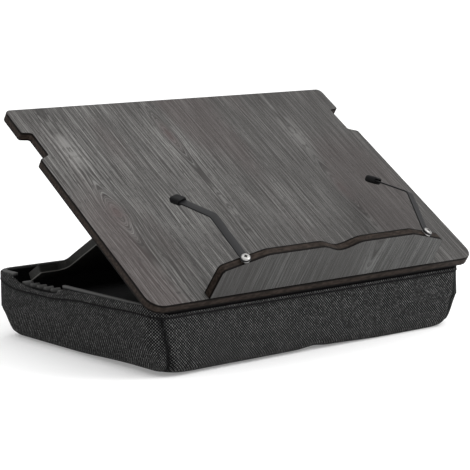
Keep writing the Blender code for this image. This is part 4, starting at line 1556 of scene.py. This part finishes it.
@dataclass
class WritingBoard:
    """The laminated board and its page ledge."""

    pose: DeskPose
    board_knots: tuple[Knot, ...] = (
        Knot(-0.1585, 0.058, 0.0100, 0.027),
        Knot(-0.036, 0.160, 0.0070, 0.036),
        Knot(0.118, 0.055, 0.0085, 0.032),
    )
    ledge_knots: tuple[Knot, ...] = (Knot(0.052, 0.19, 0.0090, 0.050),)
    board_depth: float = 0.12163
    ledge_depth: float = 0.06073
    edge_rounding: float = 0.0005

    def dress(self, nodes: Nodes) -> None:
        """Gives the board and the ledge their laminate.

        Args:
            nodes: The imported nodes.
        """
        tilt = self.pose.board_tilt
        top = LaminateFinish(Grain.BOARD_TOP, tilt, self.board_knots, self.board_depth)
        # The ledge's painted shade lies towards its left end.
        front = LaminateFinish(
            Grain.LEDGE_FRONT, tilt, self.ledge_knots, self.ledge_depth,
            lines=Streaks(1150.0, 11.0, 3.0), strands=Streaks(620.0, 5.0, 2.0),
            light=(0.150, 0.151, 0.147), middle=(0.056, 0.057, 0.055),
            warm=(0.052, 0.050, 0.048), painted_end_shade=(0.50, 0.06))
        for name, finish in (("top_board", top), ("page_ledge", front)):
            dress(nodes[name], finish.material())
            ease_edges(nodes[name], self.edge_rounding)


def refined(node: bpy.types.Object, width: float) -> BMesh:
    """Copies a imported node, merged and with rounded sharp edges.

    Args:
        node: The node.
        width: The rounding's width.

    Returns:
        The copy's bmesh.
    """
    bm = opened(node.data)
    bmesh.ops.remove_doubles(bm, verts=bm.verts, dist=MERGE_DISTANCE)
    bmesh.ops.dissolve_limit(bm, angle_limit=FLAT_ANGLE, verts=bm.verts, edges=bm.edges)
    sharp = [edge for edge in bm.edges
             if edge.is_manifold and edge.calc_face_angle(0) > SHARP_ANGLE]
    bmesh.ops.bevel(bm, geom=sharp, offset=width, segments=2, profile=0.5, affect="EDGES",
                    material=-1, clamp_overlap=True)
    return bm


def turned(profile: Sequence[Pair], steps: int) -> Mesh:
    """Turns a solid about Z from a profile that starts and ends on the axis.

    Args:
        profile: The (radius, height) points.
        steps: The sides round the axis.

    Returns:
        The closed mesh.
    """
    bm = bmesh.new()
    points = [bm.verts.new((radius, 0, height)) for radius, height in profile]
    edges = [bm.edges.new(pair) for pair in zip(points, points[1:])]
    bmesh.ops.spin(bm, geom=points + edges, cent=(0, 0, 0), axis=(0, 0, 1), angle=2 * math.pi,
                   steps=steps, use_merge=True)
    bmesh.ops.remove_doubles(bm, verts=bm.verts, dist=MERGE_DISTANCE)
    bmesh.ops.recalc_face_normals(bm, faces=bm.faces)
    return as_mesh("turned", bm)


def crossed(mesh: Mesh, top: float, reach: float, width: float) -> Mesh:
    """Cuts a cross recess into a screw's head.

    Args:
        mesh: The screw.
        top: The height of the head's top.
        reach: How far each arm of the cross reaches from the axis.
        width: The arms' width.

    Returns:
        The cut mesh.
    """
    body = linked("crossed", mesh)
    cutters = []
    for turn in (0, math.pi / 2):
        bar = bmesh.new()
        bmesh.ops.create_cube(bar, size=1)
        bmesh.ops.scale(bar, vec=(2 * reach, width, CROSS_HEIGHT * width), verts=bar.verts)
        bmesh.ops.rotate(bar, cent=(0, 0, 0), matrix=Matrix.Rotation(turn, 3, "Z"),
                         verts=bar.verts)
        bmesh.ops.translate(bar, vec=(0, 0, top), verts=bar.verts)
        cutter = linked("cross_bar", as_mesh("cross_bar", bar))
        change = body.modifiers.new("cross", "BOOLEAN")
        change.operation = "DIFFERENCE"
        change.solver = "EXACT"
        change.object = cutter
        cutters.append(cutter)
    made = applied(body)
    for cutter in cutters:
        bpy.data.objects.remove(cutter)
    return made


@dataclass
class PageArms:
    """The two bent page arms, their rubber tips and their pivot screws."""

    strip: Material = field(init=False)
    rubber: Material = field(init=False)
    plate: Material = field(init=False)
    pivot: Triple = (0.112, -0.142539, 0.102715)
    outward: Triple = (0.26892, -0.538594, 0.798498)
    board_slope: Triple = (0.0, 0.829038, 0.559193)
    across: dict[int, Triple] = field(default_factory=lambda: {
        -1: (0.9584, -0.067295, 0.277381), 1: (0.94853, 0.004133, -0.31666)})
    strip_rounding: float = 0.0003
    cap_voxel: float = 0.0005
    cap_smoothings: int = 9
    cap_smoothing: float = 0.5
    cap_growth: Triple = (0.10, 0.22, 0.40)
    seat: float = 0.0032
    head_radius: float = 0.0043
    head_height: float = 0.0013
    head_drops: tuple[Pair, ...] = (
        (0.0, 0.0), (0.45, 0.0), (0.70, 0.0002), (0.88, 0.0005), (0.97, 0.0009))
    shank_radius: float = 0.0015
    shank_length: float = 0.013
    recess_reach: float = 0.0016
    recess_width: float = 0.0014
    recess_start: float = 0.0003
    recess_margin: float = 1.2
    screw_sides: int = 40
    metal_angle: float = 40
    rubber_angle: float = 70

    def __post_init__(self) -> None:
        """Makes the arms' finishes."""
        self.strip = PaintedSteelFinish().material()
        self.rubber = DIPPED_RUBBER.material()
        self.plate = PlatedSteelFinish("nickel_plate", (0.40, 0.395, 0.385), 0.30).material()

    def build(self, nodes: Nodes) -> None:
        """Builds both arms.

        Args:
            nodes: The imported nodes.
        """
        for side, label in SIDES:
            body = Body(f"arm_{label}")
            strip = refined(nodes[f"page_arm_{label}"], self.strip_rounding)
            arm = add_piece(f"arm_strip_{label}", strip, body, self.strip,
                            self.metal_angle)
            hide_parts(f"page_arm_{label}")
            tip = self._softened(nodes[f"page_arm_tip_{label}"], side)
            cap = add_piece(f"arm_cap_{label}", tip, body, self.rubber,
                            self.rubber_angle)
            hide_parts(f"page_arm_tip_{label}")
            screw = add_piece(f"pivot_screw_{label}", self._screw(side), Body.BOARD,
                              self.plate, self.metal_angle)
            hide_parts(f"arm_screw_{label}")
            dress(nodes[f"arm_washer_{label}"], self.plate)

    def _outward(self, side: int) -> Vector:
        """Returns the direction of an arm's pivot, out of the desk."""
        return Vector((side * self.outward[0], *self.outward[1:])).normalized()

    def _softened(self, node: bpy.types.Object, side: int) -> BMesh:
        """Gives a cap the soft, dipped form of rubber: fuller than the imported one.

        Args:
            node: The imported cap.
            side: -1 for the left arm and 1 for the right one.

        Returns:
            The softened copy's bmesh.
        """
        merged = opened(node.data)
        bmesh.ops.remove_doubles(merged, verts=merged.verts, dist=MERGE_DISTANCE)
        bm = opened(evened("cap_copy", as_mesh("cap_copy", merged), self.cap_voxel))
        for _ in range(self.cap_smoothings):
            bmesh.ops.smooth_vert(bm, verts=bm.verts, factor=self.cap_smoothing, use_axis_x=True,
                                  use_axis_y=True, use_axis_z=True)
        middle = sum((vert.co for vert in bm.verts), Vector()) / len(bm.verts)
        outward = self._outward(side)
        across = Vector(self.across[side]).normalized()
        for vert in bm.verts:
            away = vert.co - middle
            for direction, growth in zip((across, across.cross(outward), outward),
                                         self.cap_growth):
                vert.co += direction * (away.dot(direction) * growth)
        return bm

    def _screw(self, side: int) -> BMesh:
        """Builds a low-headed pivot screw with a cross recess, in its place.

        Args:
            side: -1 for the left screw and 1 for the right one.

        Returns:
            The screw's bmesh.
        """
        top, foot = self.seat + self.head_height, self.seat - self.shank_length
        points = [(share * self.head_radius, top - drop) for share, drop in self.head_drops]
        points += [(self.head_radius, self.seat), (self.shank_radius, self.seat),
                   (self.shank_radius, foot), (0.0, foot)]
        screw = turned(points, self.screw_sides)
        bm = opened(crossed(screw, top, self.recess_reach, self.recess_width))
        # Marks the cross recess's walls for their painted shade.
        layer = bm.verts.layers.float.new("recess")
        for vert in bm.verts:
            near = math.hypot(vert.co.x, vert.co.y) < self.recess_reach * self.recess_margin
            sunk = self.seat < vert.co.z < top - self.recess_start
            vert[layer] = 1.0 if near and sunk else 0.0
        outward = self._outward(side)
        across = Vector(self.board_slope).cross(outward).normalized()
        frame = Matrix((across, outward.cross(across), outward)).transposed().to_4x4()
        pivot = Matrix.Translation((side * self.pivot[0], *self.pivot[1:]))
        bmesh.ops.transform(bm, matrix=pivot @ frame, verts=bm.verts)
        return bm


@dataclass
class StorageTray:
    """The open tray and its toothed racks."""

    # The teeth's crests take the painted highlight.
    teeth: MouldedPlasticFinish = MouldedPlasticFinish(
        "moulded_plastic_teeth", painted_highlight=(0.10, 0.10, 0.098), highlight_heights=(0.0545, 0.0595))
    tooth_rounding: float = 0.0004

    def dress(self, nodes: Nodes) -> None:
        """Gives the tray and the racks their plastic.

        Args:
            nodes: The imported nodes.
        """
        dress(nodes["inner_tray"], MouldedPlasticFinish().material())
        rack = self.teeth.material()
        for _, label in SIDES:
            dress(nodes[f"rack_{label}"], rack)
            ease_edges(nodes[f"rack_{label}"], self.tooth_rounding)


@dataclass
class FoldingSupport:
    """The support panel, the four hinges and their screws."""

    pose: DeskPose
    panel_rounding: float = 0.0006
    hinge_length: float = 0.038
    hole_share: float = 0.34
    hole_reach: float = 0.01364
    leaf_face: float = 0.0014
    leaf_back: float = 0.0025
    head_proud: float = 0.0001
    point_sunk: float = 0.0002
    head_radius: float = 0.0021
    point_radius: float = 0.0014
    shank_radius: float = 0.0011
    head_heights: Triple = (0.00015, 0.0008, 0.0016)
    head_flat: float = 0.8
    recess_reach: float = 0.6
    recess_width: float = 0.26
    screw_sides: int = 20
    shading_angle: float = 30
    front_hinge_x: float = 0.120
    support_hinge_x: float = 0.105

    def build(self, nodes: Nodes) -> None:
        """Dresses the support and the hinges and adds the screws.

        Args:
            nodes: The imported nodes.
        """
        paint = FibreboardFinish(self.pose.support_axis, self.pose.support_turn)
        dress(nodes["support_leg"], paint.material())
        ease_edges(nodes["support_leg"], self.panel_rounding)
        zinc = PlatedSteelFinish("zinc_plate", (0.50, 0.50, 0.48), 0.34).material()
        for name, node in nodes.items():
            if "_hinge_" in name:
                dress(node, zinc)
        tray = Matrix.Translation(self.pose.board_axis)
        board = self.pose.board_frame()
        support = self.pose.support_frame()
        half_turn = Matrix.Rotation(math.pi, 4, "Z")
        on_wall = half_turn @ Matrix.Rotation(-math.pi / 2, 4, "X")
        back = Matrix.Translation((0, self.pose.hinge_spacing, 0)) @ half_turn
        front_x, support_x = self.front_hinge_x, self.support_hinge_x
        for name, body, x, frame, leaf, side in (
                ("front_hinge_wall_screws", Body.BASE, front_x, tray, on_wall, -1),
                ("front_hinge_board_screws", Body.BOARD, front_x, board, Matrix(), -1),
                ("support_hinge_board_screws", Body.BOARD, support_x, board, back, -1),
                ("support_hinge_leg_screws", Body.SUPPORT, support_x, support, Matrix(), 1)):
            bm = self._screws(x, frame, leaf, side)
            add_piece(name, bm, body, zinc, self.shading_angle)

    def _screws(self, x: float, frame: Matrix, leaf: Matrix, side: int) -> BMesh:
        """Builds the four screws of a pair of leaves.

        Args:
            x: How far each hinge is from the middle.
            frame: The frame of the leaves' axis.
            leaf: The leaf's place in that frame, but for x.
            side: Which way the heads look along the leaf's own Z.

        Returns:
            The screws' bmesh.
        """
        head = self._screw(side)
        bm = bmesh.new()
        for hinge, _ in SIDES:
            for end, _ in SIDES:
                hole = (end * self.hinge_length * self.hole_share, self.hole_reach, 0)
                place = leaf @ Matrix.Translation(hole)
                copy = head.copy()
                copy.transform(frame @ Matrix.Translation((hinge * x, 0, 0)) @ place)
                bm.from_mesh(copy)
        return bm

    def _screw(self, side: int) -> Mesh:
        """Builds a countersunk screw with a cross recess, or its point on the leaf's back.

        Args:
            side: -1 for the head and 1 for the end that shows on the back.

        Returns:
            The screw's mesh.
        """
        head = side < 0
        face = self.leaf_face + self.head_proud if head else self.leaf_back - self.point_sunk
        radius = self.head_radius if head else self.point_radius
        bevel, cone, length = (-height for height in self.head_heights)
        profile = [(0.0, 0.0), (radius * self.head_flat, 0.0), (radius, bevel),
                   (self.shank_radius, cone), (self.shank_radius, length), (0.0, length)]
        made = crossed(turned(profile, self.screw_sides), 0.0, radius * self.recess_reach,
                       radius * self.recess_width)
        turn = Matrix.Rotation(math.pi, 4, "X") if head else Matrix()
        made.transform(Matrix.Translation((0, 0, face)) @ turn)
        return made


@dataclass
class Studio:
    """A pale floor, soft light and the camera."""

    camera_place: Triple = (-1.068618, -1.307673, 0.35542)
    camera_right: Triple = (0.77557, -0.631187, -0.009684)
    camera_up: Triple = (0.102955, 0.111341, 0.988435)
    lens: float = 133.464
    sensor: float = 36.0
    clip_end: float = 200.0
    floor_size: float = 90.0
    floor_cells: int = 8
    floor_tones: tuple[Triple, Triple] = ((0.80, 0.80, 0.80), (0.82, 0.82, 0.82))
    floor_mottle: float = 3.0
    floor_roughness: float = 0.9
    floor_glow: float = 0.235
    surround: float = 0.6
    sky_strength: float = 2.0
    sky_angle: float = math.radians(100)
    sky_turn: Triple = (math.radians(16), math.radians(4), 0)
    softbox_place: Triple = (1.3, -1.6, 1.7)
    softbox_aim: Triple = (0, 0, 0.08)
    softbox_size: float = 1.3
    softbox_power: float = 30.0

    def build(self) -> None:
        """Builds the camera, the floor and the lights."""
        self._camera()
        self._floor()
        self._world()
        self._lights()
        bpy.context.scene.view_settings.view_transform = "Standard"

    def _camera(self) -> None:
        """Adds the camera at the photograph's viewing angle."""
        data = bpy.data.cameras.new("camera")
        data.lens = self.lens
        data.sensor_width = self.sensor
        data.clip_end = self.clip_end
        camera = linked("camera", data)
        right, up = Vector(self.camera_right).normalized(), Vector(self.camera_up).normalized()
        turn = Matrix((right, up, right.cross(up))).transposed()
        camera.matrix_world = Matrix.Translation(self.camera_place) @ turn.to_4x4()
        bpy.context.scene.camera = camera

    def _floor(self) -> None:
        """Adds the pale floor."""
        bm = bmesh.new()
        bmesh.ops.create_grid(bm, x_segments=self.floor_cells, y_segments=self.floor_cells,
                              size=self.floor_size / 2)
        mesh = as_mesh("studio_floor", bm)
        shade = Shader("studio_floor_paint")
        tone = shade.noise(shade.objects(), self.floor_mottle)
        shade.set(Base_Color=shade.mix(tone, *self.floor_tones), Roughness=self.floor_roughness,
                  Emission_Color=(1.0, 1.0, 1.0), Emission_Strength=self.floor_glow)
        mesh.materials.append(shade.material)
        linked("studio_floor", mesh)

    def _world(self) -> None:
        """Adds an even white surround."""
        world = bpy.data.worlds.new("studio_world")
        world.use_nodes = True
        background = world.node_tree.nodes["Background"]
        background.inputs["Color"].default_value = (1, 1, 1, 1)
        background.inputs["Strength"].default_value = self.surround
        bpy.context.scene.world = world

    def _lights(self) -> None:
        """Adds the broad light from above and a square soft light from the right and the front."""
        sky = bpy.data.lights.new("overhead_light", "SUN")
        sky.energy = self.sky_strength
        sky.angle = self.sky_angle
        linked("overhead_light", sky).rotation_euler = self.sky_turn
        softbox = bpy.data.lights.new("key_softbox", "AREA")
        softbox.shape = "SQUARE"
        softbox.size = self.softbox_size
        softbox.energy = self.softbox_power
        light = linked("key_softbox", softbox)
        light.location = self.softbox_place
        aim = Vector(self.softbox_aim) - Vector(self.softbox_place)
        light.rotation_euler = aim.to_track_quat("-Z", "Y").to_euler()


def main() -> None:
    """Loads the frame, builds each sub-assembly and sets the studio."""
    logging.basicConfig(level=logging.INFO, format="%(name)s: %(message)s")
    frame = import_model()
    nodes = frame["nodes"]
    pose = DeskPose()
    WovenCover(pose).build()
    StorageTray().dress(nodes)
    WritingBoard(pose).dress(nodes)
    FoldingSupport(pose).build(nodes)
    PageArms().build(nodes)
    Studio().build()


if __name__ == "__main__":
    main()
